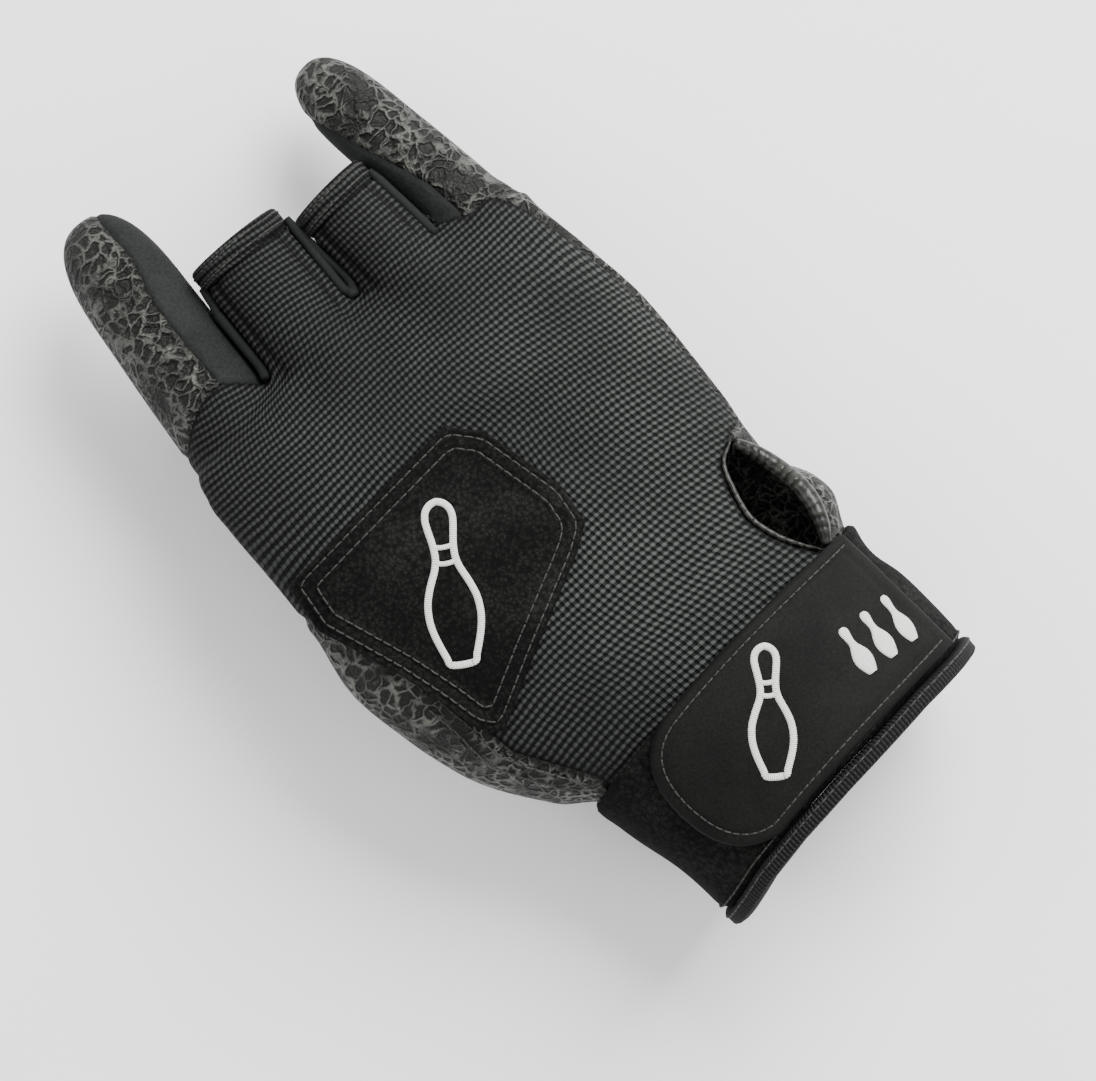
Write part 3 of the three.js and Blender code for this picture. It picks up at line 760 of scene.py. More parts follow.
def make_piece(name, surface, material, nodes=(), values=()):
    mesh = bpy.data.meshes.new(name)
    mesh.from_pydata(surface.points * MM, [], surface.faces)
    mesh.polygons.foreach_set("use_smooth", np.ones(len(surface.faces), bool))
    for key in values:
        value = surface[key]
        if value.ndim == 1:
            mesh.attributes.new(key, "FLOAT", "POINT").data.foreach_set("value", value.astype(np.float32))
        else:
            attribute = mesh.attributes.new(key, "FLOAT_VECTOR", "POINT")
            attribute.data.foreach_set("vector", value.astype(np.float32).ravel())
    mesh.update()
    mesh.validate()
    mesh.materials.append(material)
    piece = bpy.data.objects.new(name, mesh)
    bpy.context.scene.collection.objects.link(piece)
    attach(piece, "root")
    if nodes:
        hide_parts(*nodes)
    made_faces[name] = BVHTree.FromPolygons(surface.points.tolist(), surface.faces.tolist())


def swept(rings, closed_route=False):
    """A closed surface through rings of points that run counter-clockwise seen from the route's start"""
    rings = np.array(rings)
    count, sides = rings.shape[:2]
    number = np.arange(count * sides).reshape(count, sides)
    after = np.roll(number, -1, axis=0) if closed_route else number[1:]
    here = number if closed_route else number[:-1]
    a, b = here, np.roll(here, -1, axis=1)
    d, c = after, np.roll(after, -1, axis=1)
    faces = [np.stack([a, d, c], -1).reshape(-1, 3), np.stack([a, c, b], -1).reshape(-1, 3)]
    points = rings.reshape(-1, 3)
    if not closed_route:
        points = np.vstack([points, rings[0].mean(0), rings[-1].mean(0)])
        first, last = number[0], number[-1]
        start, end = len(points) - 2, len(points) - 1
        faces.append(np.stack([np.full(sides, start), first, np.roll(first, -1)], -1))
        faces.append(np.stack([np.full(sides, end), np.roll(last, -1), last], -1))
    return Surface(points, np.vstack(faces))


def directions(route, normals, closed=False):
    """The direction along a route on a surface, and the one across it"""
    if closed:
        along = np.roll(route, -1, axis=0) - np.roll(route, 1, axis=0)
    else:
        along = np.gradient(route, axis=0)
    along = along / np.linalg.norm(along, axis=1)[:, None]
    aside = np.cross(along, normals)
    return along, aside / np.linalg.norm(aside, axis=1)[:, None]


def tube(route, normals, size, sides, closed=False):
    """A round cord along a route on a surface, with the way along it and round it as its run"""
    along, aside = directions(route, normals, closed)
    up = np.cross(aside, along)
    angle = even_angles(sides)
    section = np.column_stack([np.cos(angle), np.sin(angle)])
    size = np.broadcast_to(size, len(route))[:, None, None]
    rings = route[:, None] + size * (section[:, :1] * aside[:, None] + section[:, 1:] * up[:, None])
    made = swept(rings, closed)
    lengths = lengths_along(route)
    run = np.repeat(lengths, sides)
    turn = np.tile(np.arange(sides) / sides, len(route))
    if not closed:
        run, turn = np.append(run, [0, lengths[-1]]), np.append(turn, [0, 0])
    made["run"] = np.column_stack([run, turn, 0 * run])
    return made


def joined(surfaces):
    """Several surfaces as one"""
    shift, points, faces = 0, [], []
    for surface in surfaces:
        points.append(surface.points)
        faces.append(surface.faces + shift)
        shift += len(surface.points)
    keys = surfaces[0].values.keys()
    values = {key: np.concatenate([surface[key] for surface in surfaces]) for key in keys}
    return Surface(np.vstack(points), np.vstack(faces), **values)


def stitch_row(route, normals, pitch, thickness, closed=False):
    """A row of lockstitches along a route, each a short thread that dips into the cloth at both ends"""
    frames = even_route(np.hstack([route, normals]), pitch, closed)
    ends = np.roll(frames, -1, axis=0) if closed else frames[1:]
    starts = frames if closed else frames[:-1]
    threads = []
    shares = np.array([0.06, 0.14, 0.32, 0.5, 0.68, 0.86, 0.94])
    lifts = np.array([-0.7, -0.1, 0.2, 0.3, 0.2, -0.1, -0.7]) * thickness
    for start, end in zip(starts, ends):
        line = start[:3] + shares[:, None] * (end[:3] - start[:3])
        normal = (start[3:] + end[3:]) / 2
        line = line + lifts[:, None] * normal
        threads.append(tube(line, np.tile(normal, (len(line), 1)), thickness / 2, 6))
    return joined(threads)


# Shader maths

class Value:
    """A socket of a material's nodes that is used like a number in an expression"""

    def __init__(self, shader, socket):
        self.shader, self.socket = shader, socket

    def _math(self, operation, *inputs):
        return self.shader.add("ShaderNodeMath", {"operation": operation}, dict(enumerate(inputs)))

    def __add__(self, other):
        return self._math("ADD", self, other)

    def __sub__(self, other):
        return self._math("SUBTRACT", self, other)

    def __rsub__(self, other):
        return self._math("SUBTRACT", other, self)

    def __mul__(self, other):
        return self._math("MULTIPLY", self, other)

    def cosine(self):
        return self._math("COSINE", self)

    def wave(self):
        """From 0 to 1 and back once for each whole number"""
        return 0.5 + 0.5 * (self * FULL_TURN).cosine()

    def between(self, low, high):
        """0 below low, 1 above high and smooth between them"""
        inputs = {"Value": self, "From Min": low, "From Max": high}
        settings = {"interpolation_type": "SMOOTHSTEP"}
        return self.shader.add("ShaderNodeMapRange", settings, inputs)

    __radd__ = __add__
    __rmul__ = __mul__


class Shader:
    """A material whose nodes are written as expressions"""

    def __init__(self, name, **constants):
        self.material = bpy.data.materials.new(name)
        self.material.use_nodes = True
        self.tree = self.material.node_tree
        self.surface = self.tree.nodes["Principled BSDF"]
        for key, value in constants.items():
            self.put(self.surface.inputs[key.replace("_", " ")], value)

    def put(self, socket, value):
        if isinstance(value, Value):
            self.tree.links.new(value.socket, socket)
        elif socket.type == "RGBA" and len(value) == 3:
            socket.default_value = (*value, 1)
        else:
            socket.default_value = value

    def add(self, kind, settings=None, inputs=None, output=0):
        node = self.tree.nodes.new(kind)
        for key, value in (settings or {}).items():
            setattr(node, key, value)
        for key, value in (inputs or {}).items():
            self.put(node.inputs[key], value)
        return Value(self, node.outputs[output])

    def attribute(self, name):
        """Three values that a piece's mesh carries"""
        return self.add("ShaderNodeAttribute", {"attribute_name": name}, output="Vector")

    def measure(self, name):
        """One value that a piece's mesh carries"""
        return self.add("ShaderNodeAttribute", {"attribute_name": name}, output="Fac")

    def axis(self, vector, name):
        return self.add("ShaderNodeSeparateXYZ", None, {0: vector}, output=name)

    def position(self):
        return self.add("ShaderNodeTexCoord", output="Object")

    def scaled(self, vector, scale):
        return self.add("ShaderNodeVectorMath", {"operation": "MULTIPLY"}, {0: vector, 1: scale})

    def moved(self, vector, other, share):
        """A vector pushed about by a colour, for uneven cells and grain"""
        push = self.add("ShaderNodeVectorMath", {"operation": "SCALE"}, {0: other, "Scale": share})
        return self.add("ShaderNodeVectorMath", {"operation": "ADD"}, {0: vector, 1: push})

    def noise(self, vector, scale, detail=2.0, roughness=0.5, output="Fac"):
        inputs = {"Vector": vector, "Scale": scale, "Detail": detail, "Roughness": roughness}
        return self.add("ShaderNodeTexNoise", None, inputs, output)

    def cells(self, vector, scale, feature="DISTANCE_TO_EDGE"):
        inputs = {"Vector": vector, "Scale": scale}
        return self.add("ShaderNodeTexVoronoi", {"feature": feature}, inputs, "Distance")

    def mix(self, share, a, b):
        return self.add("ShaderNodeMix", {"data_type": "RGBA"}, {0: share, 6: a, 7: b}, 2)

    def bump(self, height, distance):
        return self.add("ShaderNodeBump", None, {"Height": height, "Distance": distance})

    def done(self, color, roughness=None, normal=None):
        """The material, with what changes over its surface"""
        for key, value in (("Base Color", color), ("Roughness", roughness), ("Normal", normal)):
            if value is not None:
                self.put(self.surface.inputs[key], value)
        return self.material


# Finishes

def seam_shade(shader):
    """Painted shade: 1 on a panel and less in the valleys of its seams, where the colour is darkened"""
    return 0.25 + 0.75 * shader.measure("edge").between(0.1, 1.3)


def rib_knit(colours):
    """Elastic rib knit: rows of raised stitches across the glove, with painted shade in the gaps between them,
    in its seams and towards the sleeves and the thumb's side
    """
    shader = Shader("rib knit", Roughness=0.8, Specular_IOR_Level=0.12)
    knit = shader.attribute("knit")
    position = shader.position()
    wander = shader.noise(position, 160, 2) * 0.5
    rib = (shader.axis(knit, "Y") + wander).wave().between(0.08, 0.85)
    loop = (shader.axis(knit, "X") + wander).wave().between(0.0, 0.75)
    drawn_and_shade = shader.axis(knit, "Z")
    share = 0.46 - 0.12 * drawn_and_shade
    thread = (1 - share) * rib + share * loop
    spots = shader.noise(position, 900, 2)
    patches = shader.noise(position, 28, 3).between(0.3, 0.75)
    height = thread * (0.8 + 0.4 * spots)
    # Painted shade in the gaps between the stitches and in the seams' valleys, with random patches of tone
    shade = height.between(0.24, 1.02) * (0.58 + 0.5 * patches) * seam_shade(shader)
    # Painted shade, darker towards the sleeves and most on the thumb's side
    shade = shade * (1 - 0.3 * drawn_and_shade)
    color = shader.mix(shade, colours.knit_gap_shade, colours.knit_top)
    return shader.done(color, None, shader.bump(height, 0.0005))


def textured_leather(colours):
    """Black leather with a net of glossy raised wrinkles, painted lighter as highlights on them and darker
    with painted shade in its seams
    """
    shader = Shader("textured leather", Specular_IOR_Level=0.22)
    position = shader.position()
    push = shader.noise(position, 210, 3, output="Color")
    uneven = shader.moved(position, push, 0.005)
    stretched = shader.scaled(uneven, (0.8, 1.15, 1.0))
    net = 1 - shader.cells(stretched, 350).between(0.03, 0.24)
    fine = 1 - shader.cells(stretched, 720).between(0.02, 0.22)
    facet = shader.noise(position, 260, 2).between(0.35, 0.65)
    patches = shader.noise(position, 80, 3).between(0.28, 0.56)
    height = net * (0.15 + 0.85 * patches) + 0.16 * fine + 0.4 * facet
    # Painted highlight on the raised wrinkles and painted shade in the seams' valleys; the same mask makes the
    # wrinkles glossier
    lit = height.between(0.52, 1.7) * seam_shade(shader)
    color = shader.mix(lit, colours.leather, colours.leather_ridge_highlight)
    return shader.done(color, 0.6 - 0.3 * lit, shader.bump(height, 0.0011))


def fine_cloth(name, color, light, scale, rough, relief):
    """Closely woven cloth with a fine speckle"""
    shader = Shader(name, Roughness=rough, Specular_IOR_Level=0.12)
    position = shader.position()
    grain = shader.noise(position, scale, 3, 0.6)
    patches = shader.noise(position, 90, 3)
    # Random grain and patches of tone, with painted shade in the seams' valleys
    shade = (0.6 * grain + 0.4 * patches).between(0.35, 0.7) * seam_shade(shader)
    return shader.done(shader.mix(shade, color, light), None, shader.bump(grain, relief))


def fuzzy_pile(name, color, light, scale, relief):
    """Short pile: soft clumps of fibre with light tips"""
    shader = Shader(name, Roughness=0.95, Specular_IOR_Level=0.08)
    position = shader.position()
    push = shader.noise(position, scale * 2, 2, output="Color")
    clumps = shader.cells(shader.moved(position, push, 0.4 / scale), scale, "F1")
    fibres = shader.noise(position, scale * 4, 4, 0.7)
    patches = shader.noise(position, 60, 3)
    height = (1 - clumps) * 0.6 + fibres * 0.6
    shade = (fibres * 0.6 + (1 - clumps) * 0.2 + patches * 0.3).between(0.45, 0.95)
    return shader.done(shader.mix(shade, color, light), None, shader.bump(height, relief))


def rolled_leather(colours):
    """Smooth leather rolled over a cord, creased across its run, with painted highlights in light places along
    its grain and creases
    """
    shader = Shader("piping", Roughness=0.35, Specular_IOR_Level=0.3)
    run = shader.axis(shader.attribute("run"), "X")
    grain = shader.noise(shader.position(), 300, 3)
    creases = (run * 0.45 + grain * 1.5).wave()
    # Painted highlight: the light places of the grain and the creases
    shade = (grain * 0.7 + 0.3 * creases).between(0.3, 0.75)
    color = shader.mix(shade, colours.piping, colours.piping_highlight)
    return shader.done(color, None, shader.bump(creases * 0.5 + grain, 0.0002))


def ribbed_binding(colours):
    """Woven binding tape with ribs across it"""
    shader = Shader("edge binding", Roughness=0.85, Specular_IOR_Level=0.15)
    run = shader.attribute("run")
    rib = (shader.axis(run, "X") * 1.1).wave()
    weft = shader.axis(run, "Z").wave()
    grain = shader.noise(shader.position(), 1200, 3)
    height = rib * (0.6 + 0.4 * weft) + 0.4 * grain
    color = shader.mix(height.between(0.3, 1.3), colours.strap, colours.panel_light)
    return shader.done(color, None, shader.bump(height, 0.0003))


def spun_thread(colours):
    """Twisted sewing thread"""
    shader = Shader("thread", Roughness=0.6, Specular_IOR_Level=0.3)
    grain = shader.noise(shader.position(), 2500, 2)
    color = shader.mix(grain.between(0.3, 0.7), colours.thread_dark, colours.thread_light)
    return shader.done(color, None, shader.bump(grain, 0.0001))


def satin_stitch(colours):
    """Close parallel threads laid across a line, with a dark gap here and there"""
    shader = Shader("satin stitch", Roughness=0.45)
    run = shader.axis(shader.attribute("run"), "X")
    thread = (run * 2.6).wave()
    uneven = shader.noise(shader.position(), 1500, 2)
    height = thread * (0.7 + 0.6 * uneven)
    color = shader.mix(height.between(0.0, 0.6), colours.embroidery_shade, colours.embroidery)
    return shader.done(color, None, shader.bump(height, 0.0002))


# Settings that a user would change

def length(name, description, default):
    return FloatProperty(name=name, description=description, default=default * MM, unit="LENGTH", precision=5)


def colour(name, description, default):
    return FloatVectorProperty(
        name=name, description=description, default=default, size=3, min=0, max=1, subtype="COLOR"
    )


class GloveSizes(bpy.types.PropertyGroup):
    wall: length("Wall", "Thickness of the knit and the leather", 1.6)
    seam_dip: length("Seam dip", "How far a panel dips into its seams", 0.55)
    hem_extra: length("Hem", "How far a turned hem stands out of its sleeve", 0.6)
    patch_thickness: length("Patch", "Thickness of the pile patch", 1.3)
    fold_radius: length("Sleeve fold", "Radius of the folded edges down the sleeves", 1.15)
    binding_radius: length("Thumb binding", "Radius of the rolled edge of the thumb hole", 1.3)
    piping_radius: length("Piping", "Radius of the piping at the slit", 2.1)
    rim_radius: length("Rim", "Radius of the rim on the knit edge of the slit", 0.6)
    stitch_pitch: length("Stitch", "Length of one lockstitch", 2.3)
    thread: length("Thread", "Thickness of the sewing thread", 0.42)
    satin_width: length("Satin", "Width of an embroidered line", 1.5)


class GloveColours(bpy.types.PropertyGroup):
    knit_top: colour("Knit", "Raised stitches of the knit", (0.053, 0.058, 0.054))
    # Painted shade: the colour put in the gaps between the knit rows
    knit_gap_shade: colour("Knit gaps", "Gaps between the knit rows", (0.0012, 0.0014, 0.0012))
    leather: colour("Leather", "Ground of the textured leather", (0.005, 0.005, 0.0043))
    # Painted highlight on the raised wrinkles of the leather
    leather_ridge_highlight: colour("Wrinkles", "Raised wrinkles of the textured leather", (0.1, 0.102, 0.09))
    panel: colour("Side panels", "Smooth side panels of the stalls", (0.008, 0.0088, 0.0086))
    panel_light: colour("Panel grain", "Light grain of the side panels", (0.02, 0.0215, 0.021))
    pile: colour("Patch", "Ground of the pile patch", (0.0022, 0.0022, 0.0021))
    pile_light: colour("Patch fibres", "Light fibres of the pile patch", (0.033, 0.033, 0.031))
    strap: colour("Strap", "Face of the strap", (0.003, 0.003, 0.0028))
    strap_light: colour("Strap grain", "Light grain of the strap's face", (0.008, 0.008, 0.0074))
    piping: colour("Piping", "Leather of the piping", (0.0025, 0.0025, 0.002))
    # Painted highlight of the piping
    piping_highlight: colour("Piping light", "Light places of the piping", (0.022, 0.022, 0.018))
    thread_dark: colour("Thread", "Sewing thread", (0.008, 0.008, 0.0075))
    thread_light: colour("Thread light", "Light strands of the thread", (0.04, 0.04, 0.037))
    embroidery: colour("Embroidery", "Satin stitch", (0.95, 0.95, 0.93))
    embroidery_shade: colour("Embroidery shade", "Gaps between the threads of the satin", (0.55, 0.55, 0.53))


class GloveStage(bpy.types.PropertyGroup):
    lens: FloatProperty(name="Lens", description="Focal length of the camera", default=150, unit="CAMERA")
    key: FloatProperty(name="Key light", description="Power of the large light", default=30, unit="POWER")
    fill: FloatProperty(name="Fill light", description="Power of each small light", default=3.5, unit="POWER")
    room: FloatProperty(name="Room light", description="Strength of the even light", default=0.75)
    floor: colour("Floor", "The pale floor", (0.97, 0.97, 0.97))


def sizes():
    return bpy.context.scene.glove_sizes


def colours():
    return bpy.context.scene.glove_colours


made_finishes = {}


def finish(name):
    """The finish of that name, made once"""
    c = colours()
    makers = {
        "rib_knit": (rib_knit, c),
        "textured_leather": (textured_leather, c),
        "smooth_panel": (fine_cloth, "smooth panel", c.panel, c.panel_light, 1500, 0.8, 0.00008),
        "edge_binding": (ribbed_binding, c),
        "piping": (rolled_leather, c),
        "fuzzy_patch": (fuzzy_pile, "patch pile", c.pile, c.pile_light, 1100, 0.00025),
        "loop_band": (fuzzy_pile, "loop band", c.pile, c.pile_light, 800, 0.0004),
        "strap_face": (fine_cloth, "strap face", c.strap, c.strap_light, 1800, 0.75, 0.00006),
        "thread": (spun_thread, c),
        "embroidery": (satin_stitch, c),
    }
    if name not in made_finishes:
        maker, *given = makers[name]
        made_finishes[name] = maker(*given)
    return made_finishes[name]


# Panels

def panel(surface, depth, dip, ridge=0.0):
    """A sewn panel: cut along its seams and dipped into them, with a low ridge beside them"""
    # The edge values also darken the panel's colour near its seams with painted shade
    surface["edge"] = depth
    made = surface.cut(depth).largest()
    edge = np.maximum(made["edge"], 0)
    raised = ridge * bell(edge - 2.2, 1.3) - dip * bell(edge, 0.9)
    made.points = made.points + made["normal"] * raised[:, None]
    return made


# How far the groove beside a sleeve's folded edge lies above it
FOLD_GROOVE = 1.9


def sleeve_folds(made):
    """Presses a folded edge along both sides of the sleeves, from the hem towards the web"""
    height = np.zeros(len(made.points))
    edge = made["edge"].copy()
    for name in ("middle", "ring"):
        f = FINGERS[name]
        along, aside, up = finger_place(name, made.points)
        near = smooth_step(3, 0.5, np.abs(finger_distance(name, made.points)))
        near = near * smooth_step(24, 34, along) * smooth_step(0.35, 0.6, np.abs(aside) / (f["width"] / 2))
        way = up - 0.42 * f["depth"] / 2
        height += near * (0.45 * bell(way, 0.9) - 0.5 * bell(way - FOLD_GROOVE, 0.7))
        # The groove's edge values also darken it with painted shade in the knit's finish
        edge = np.minimum(edge, np.abs(way - FOLD_GROOVE) + 0.25 + 3 * (1 - near))
    made["edge"] = edge
    made.points = made.points + made["normal"] * height[:, None]


def soft_folds(made):
    """Gives the knit the shallow folds of worn cloth, and none near its seams or under the patch"""
    p = made.points
    clear = smooth_step(2, 9, made["edge"]) * smooth_step(1, 8, -outline_depth(place(PATCH_OUTLINE), p))
    clear = clear * smooth_step(32, 42, p[:, 1]) * smooth_step(150, 130, p[:, 1])
    across = waves(p * (0.55, 1.3, 1), 24, 5) * 0.42
    made.points = p + made["normal"] * (clear * across)[:, None]


class MakeKnitBack(bpy.types.Operator):
    """Makes the ribbed knit back with its two open sleeves"""

    bl_idname = "glove.knit_back"
    bl_label = "Knit back"

    def execute(self, context):
        surface = glove_surface()
        knit, _ = panel_depths(surface.points)
        made = panel(surface, knit, sizes().seam_dip / MM)
        made["knit"] = knit_values(made.points)
        sleeve_folds(made)
        soft_folds(made)
        solid = made.thickened(sizes().wall / MM)
        make_piece("knit_back", solid, finish("rib_knit"), ["back_panel"], ["knit", "edge"])
        return {"FINISHED"}


class MakePalm(bpy.types.Operator):
    """Makes the textured palm, with its strip round the thumb hole"""

    bl_idname = "glove.palm"
    bl_label = "Palm"

    def execute(self, context):
        surface = glove_surface()
        _, palm = panel_depths(surface.points)
        made = panel(surface, palm, sizes().seam_dip / MM, 0.25)
        solid = made.thickened(sizes().wall / MM)
        make_piece("textured_palm", solid, finish("textured_leather"), ["palm_panel"],
                   ["edge"])
        return {"FINISHED"}


# A stall, one of its pieces, the node and the finish of that piece, the side of the seam that it is on, the
# height of the ridge beside its seams, its flat size in metres and its flat area
STALL_PARTS = [
    ("index", "index_stall_skin", "index_stall", "textured_leather", -1, 0.3, (0.05, 0.06), 0.0019),
    ("index", "index_side_skin", "index_side_panel", "smooth_panel", 1, 0.2, (0.03, 0.055), 0.00115),
    ("little", "little_stall_skin", "little_stall", "textured_leather", -1, 0.3, (0.046, 0.056), 0.0017),
    ("little", "little_side_skin", "little_side_panel", "smooth_panel", 1, 0.2, (0.025, 0.048), 0.00072),
]


class MakeStalls(bpy.types.Operator):
    """Makes the two closed stalls, each with a smooth side panel"""

    bl_idname = "glove.stalls"
    bl_label = "Stalls"

    def execute(self, context):
        for stall, name, node, made_of, side, ridge, flat, area in STALL_PARTS:
            surface = glove_surface(stall)
            inside = stall_depth(stall, surface.points)
            depth = np.minimum(inside, side * side_depth(stall, surface.points))
            made = panel(surface, depth, sizes().seam_dip / MM, ridge)
            solid = made.thickened(sizes().wall / MM)
            make_piece(name, solid, finish(made_of), [node], ["edge"])
        return {"FINISHED"}


# Points round a hem's section: the way along it and the offset from the sleeve's surface, which is in shares
# of the hem's own height outside the sleeve
HEM_SECTION = [
    (0.0, 0.0), (0.5, 0.35), (1.6, 0.85), (3.2, 1.0), (4.6, 0.8), (5.0, 0.2), (5.1, -0.8), (4.7, -1.9),
    (3.0, -2.3), (1.0, -2.3), (0.0, -1.7), (-0.1, -0.8),
]
HEM_SEAMS = (1.3, 3.7)
HEM_STITCH = 1.8
# The girths of the hems in metres
HEM_GIRTHS = dict(middle=0.064, ring=0.055)


def hem_ring(name, way, offset, angle):
    """Points round a sleeve's end, at a way along its hem and an offset from its surface"""
    f = FINGERS[name]
    along = f["length"] - HEM_WIDTH + way
    size = read_table(SLEEVE_PROFILE, np.array([along / f["length"]]))[0, 0]
    aside = np.cos(angle) * (size * f["width"] / 2 + offset)
    rise = np.sin(angle) * (size * f["depth"] / 2 + offset)
    return finger_points(name, along, aside, rise)


class MakeHems(bpy.types.Operator):
    """Makes the turned hems of the two open sleeves"""

    bl_idname = "glove.hems"
    bl_label = "Hems"

    def execute(self, context):
        extra = sizes().hem_extra / MM
        angle = even_angles(120)
        for name, around in HEM_GIRTHS.items():
            rings = [hem_ring(name, way, up * extra if up > 0 else up, angle) for way, up in HEM_SECTION]
            made = swept(rings[::-1], True)
            made["knit"] = knit_values(made.points)
            made["edge"] = np.full(len(made.points), 3.0)
            make_piece(f"{name}_hem_fold", made, finish("rib_knit"), [f"{name}_hem"],
                       ["knit", "edge"])
        return {"FINISHED"}


def sleeve_side(name, side, low):
    """Points down the side of a sleeve from its hem, with side 1 towards +X and -1 away from it"""
    f = FINGERS[name]
    along = np.arange(f["length"] - HEM_WIDTH + 1.2, low, -1.5)
    return finger_points(name, along, side * (f["width"] / 2 + 0.5), 0.1 * f["depth"])


class MakeSleeveEdges(bpy.types.Operator):
    """Makes the narrow folded edges that run down the sides of the sleeves and round the web between them"""

    bl_idname = "glove.sleeve_edges"
    bl_label = "Sleeve edges"

    def execute(self, context):
        radius = sizes().fold_radius / MM
        routes = [
            ("web_fold", np.vstack([sleeve_side("middle", 1, 30), sleeve_side("ring", -1, 32)[::-1]])),
            ("middle_side_fold", sleeve_side("middle", -1, 27)),
            ("ring_side_fold", sleeve_side("ring", 1, 27)),
        ]

        def field(p):
            return whole_glove(p) - 0.45 * radius

        for name, line in routes:
            route = settle(field, even_route(line, 1.0), 6)
            for _ in range(4):
                route[1:-1] = (route[:-2] + 2 * route[1:-1] + route[2:]) / 4
                route = settle(field, route, 1)
            ends = np.minimum(np.arange(len(route)), np.arange(len(route))[::-1])
            size = radius * (0.7 + 0.3 * smooth_step(0, 3, ends))
            made = tube(route, gradient(field, route), size, 14)
            # These pieces carry no edge values, so their finish darkens them all over with painted seam shade
            make_piece(name, made, finish("smooth_panel"), values=["run"])
        return {"FINISHED"}


class MakeThumbBinding(bpy.types.Operator):
    """Makes the rolled binding of the thumb hole"""

    bl_idname = "glove.thumb_binding"
    bl_label = "Thumb binding"

    def execute(self, context):
        s = sizes()
        angle = even_angles(150)
        start = HOLE_MIDDLE + HOLE_AXIS * BODY_DEPTH
        start = start + np.outer(np.sin(angle), HOLE_UP) * THUMB_HOLE["height"] / 2
        start[:, 1] += np.cos(angle) * THUMB_HOLE["length"] / 2
        reach = np.arange(0, 1.6 * BODY_DEPTH, 0.5)
        distance = np.stack([whole_glove(start - HOLE_AXIS * step) for step in reach], 1)
        first = np.argmax(distance < 0, axis=1)
        route = start - HOLE_AXIS * (reach[first][:, None] + s.wall / MM / 2)
        for _ in range(6):
            route = (np.roll(route, 1, axis=0) + 2 * route + np.roll(route, -1, axis=0)) / 4
        made = tube(route, gradient(whole_glove, route), s.binding_radius / MM, 18, True)
        make_piece("thumb_edge_binding", made, finish("piping"), ["thumb_binding"], ["run"])
        return {"FINISHED"}


class MakeSlitTrim(bpy.types.Operator):
    """Makes the piping and the rim of the slit above the cuff"""

    bl_idname = "glove.slit_trim"
    bl_label = "Slit trim"

    def execute(self, context):
        s = sizes()
        trims = [
            ("slit_roll", "slit_piping", SLIT_PALM_EDGE, s.piping_radius / MM, -1, 0.5),
            ("slit_edge_rim", "slit_rim", SLIT_KNIT_EDGE, s.rim_radius / MM, 1, 1.0),
        ]
        for name, node, edge, radius, side, steep in trims:
            line = even_route(curve_through(place(edge), 12), 0.6)
            share = np.linspace(0, 1, len(line))
            size = radius * (0.4 + 0.6 * np.sin(math.pi * share) ** 0.6)
            inward = side * (size * steep + 0.4)
            route, normal = on_back(line + np.column_stack([inward, 0 * inward]), -0.2)
            made = tube(route, normal, size, 20)
            make_piece(name, made, finish("piping"), [node], ["run"])
        return {"FINISHED"}


# Distances of the patch's two rows of stitches from its edge, and the width of its raised hem
PATCH_SEAMS = (1.5, 4.2)
PATCH_HEM = 4.6


def patch_height(edge, thickness):
    """Height of the patch over the knit, with a rounded edge and a raised double-stitched hem"""
    rounded = rounding(edge, 0.9)
    hem = 0.5 * (1 - smooth_step(PATCH_HEM, PATCH_HEM + 1, edge))
    dips = sum(0.35 * bell(edge - seam, 0.5) for seam in PATCH_SEAMS)
    return 0.3 + (thickness + hem) * rounded - dips * rounded


def patch_surface():
    """A fine net of the glove's back under the patch and a little round it"""
    surface = glove_surface()
    depth = np.minimum(outline_depth(place(PATCH_OUTLINE), surface.points), surface.points[:, 2])
    made = surface.cut(depth + 2).largest().refined().refined()
    made.points = settle(whole_glove, made.points, 2)
    made["normal"] = gradient(whole_glove, made.points)
    return made


class MakePatch(bpy.types.Operator):
    """Makes the pile patch with its raised hem"""

    bl_idname = "glove.patch"
    bl_label = "Patch"

    def execute(self, context):
        thickness = sizes().patch_thickness / MM
        made = patch_surface()
        depth = outline_depth(place(PATCH_OUTLINE), made.points)
        made["edge"] = depth
        made = made.cut(depth).largest()
        height = patch_height(np.maximum(made["edge"], 0), thickness)
        made.points = made.points + made["normal"] * height[:, None]
        solid = made.thickened(height - 0.2)
        make_piece("pile_patch", solid, finish("fuzzy_patch"), ["thumb_patch"], ["edge"])
        return {"FINISHED"}


# The cuff and its strap

def cuff_line(edge, x):
    """Places along the glove of one of the cuff's edges, at places across it"""
    shares = np.interp(x / BODY_BREADTH, *zip(*edge))
    return CUFF_LOW + CUFF_HEIGHT * shares


def cuff_top(x):
    return cuff_line(CUFF_TOP_EDGE, x)


def cuff_bottom(x):
    return cuff_line(CUFF_BOTTOM_EDGE, x)


def binding_top(x):
    return cuff_bottom(x) - 0.1


def binding_bottom(x):
    return cuff_bottom(x) - CUFF_BINDING_HEIGHT


def band_section(inner, outer, steps):
    """Points round a band's section as shares up it and offsets from the body, with rounded edges"""
    up = np.linspace(0, 1, steps)
    rounded = rounding(np.minimum(up, 1 - up), 3 / steps)
    outside = [(u, inner + (outer - inner) * (0.35 + 0.65 * r)) for u, r in zip(up, rounded)]
    inside = [(u, inner) for u in up[::-1]]
    return outside + inside


BAND_STATIONS = 260


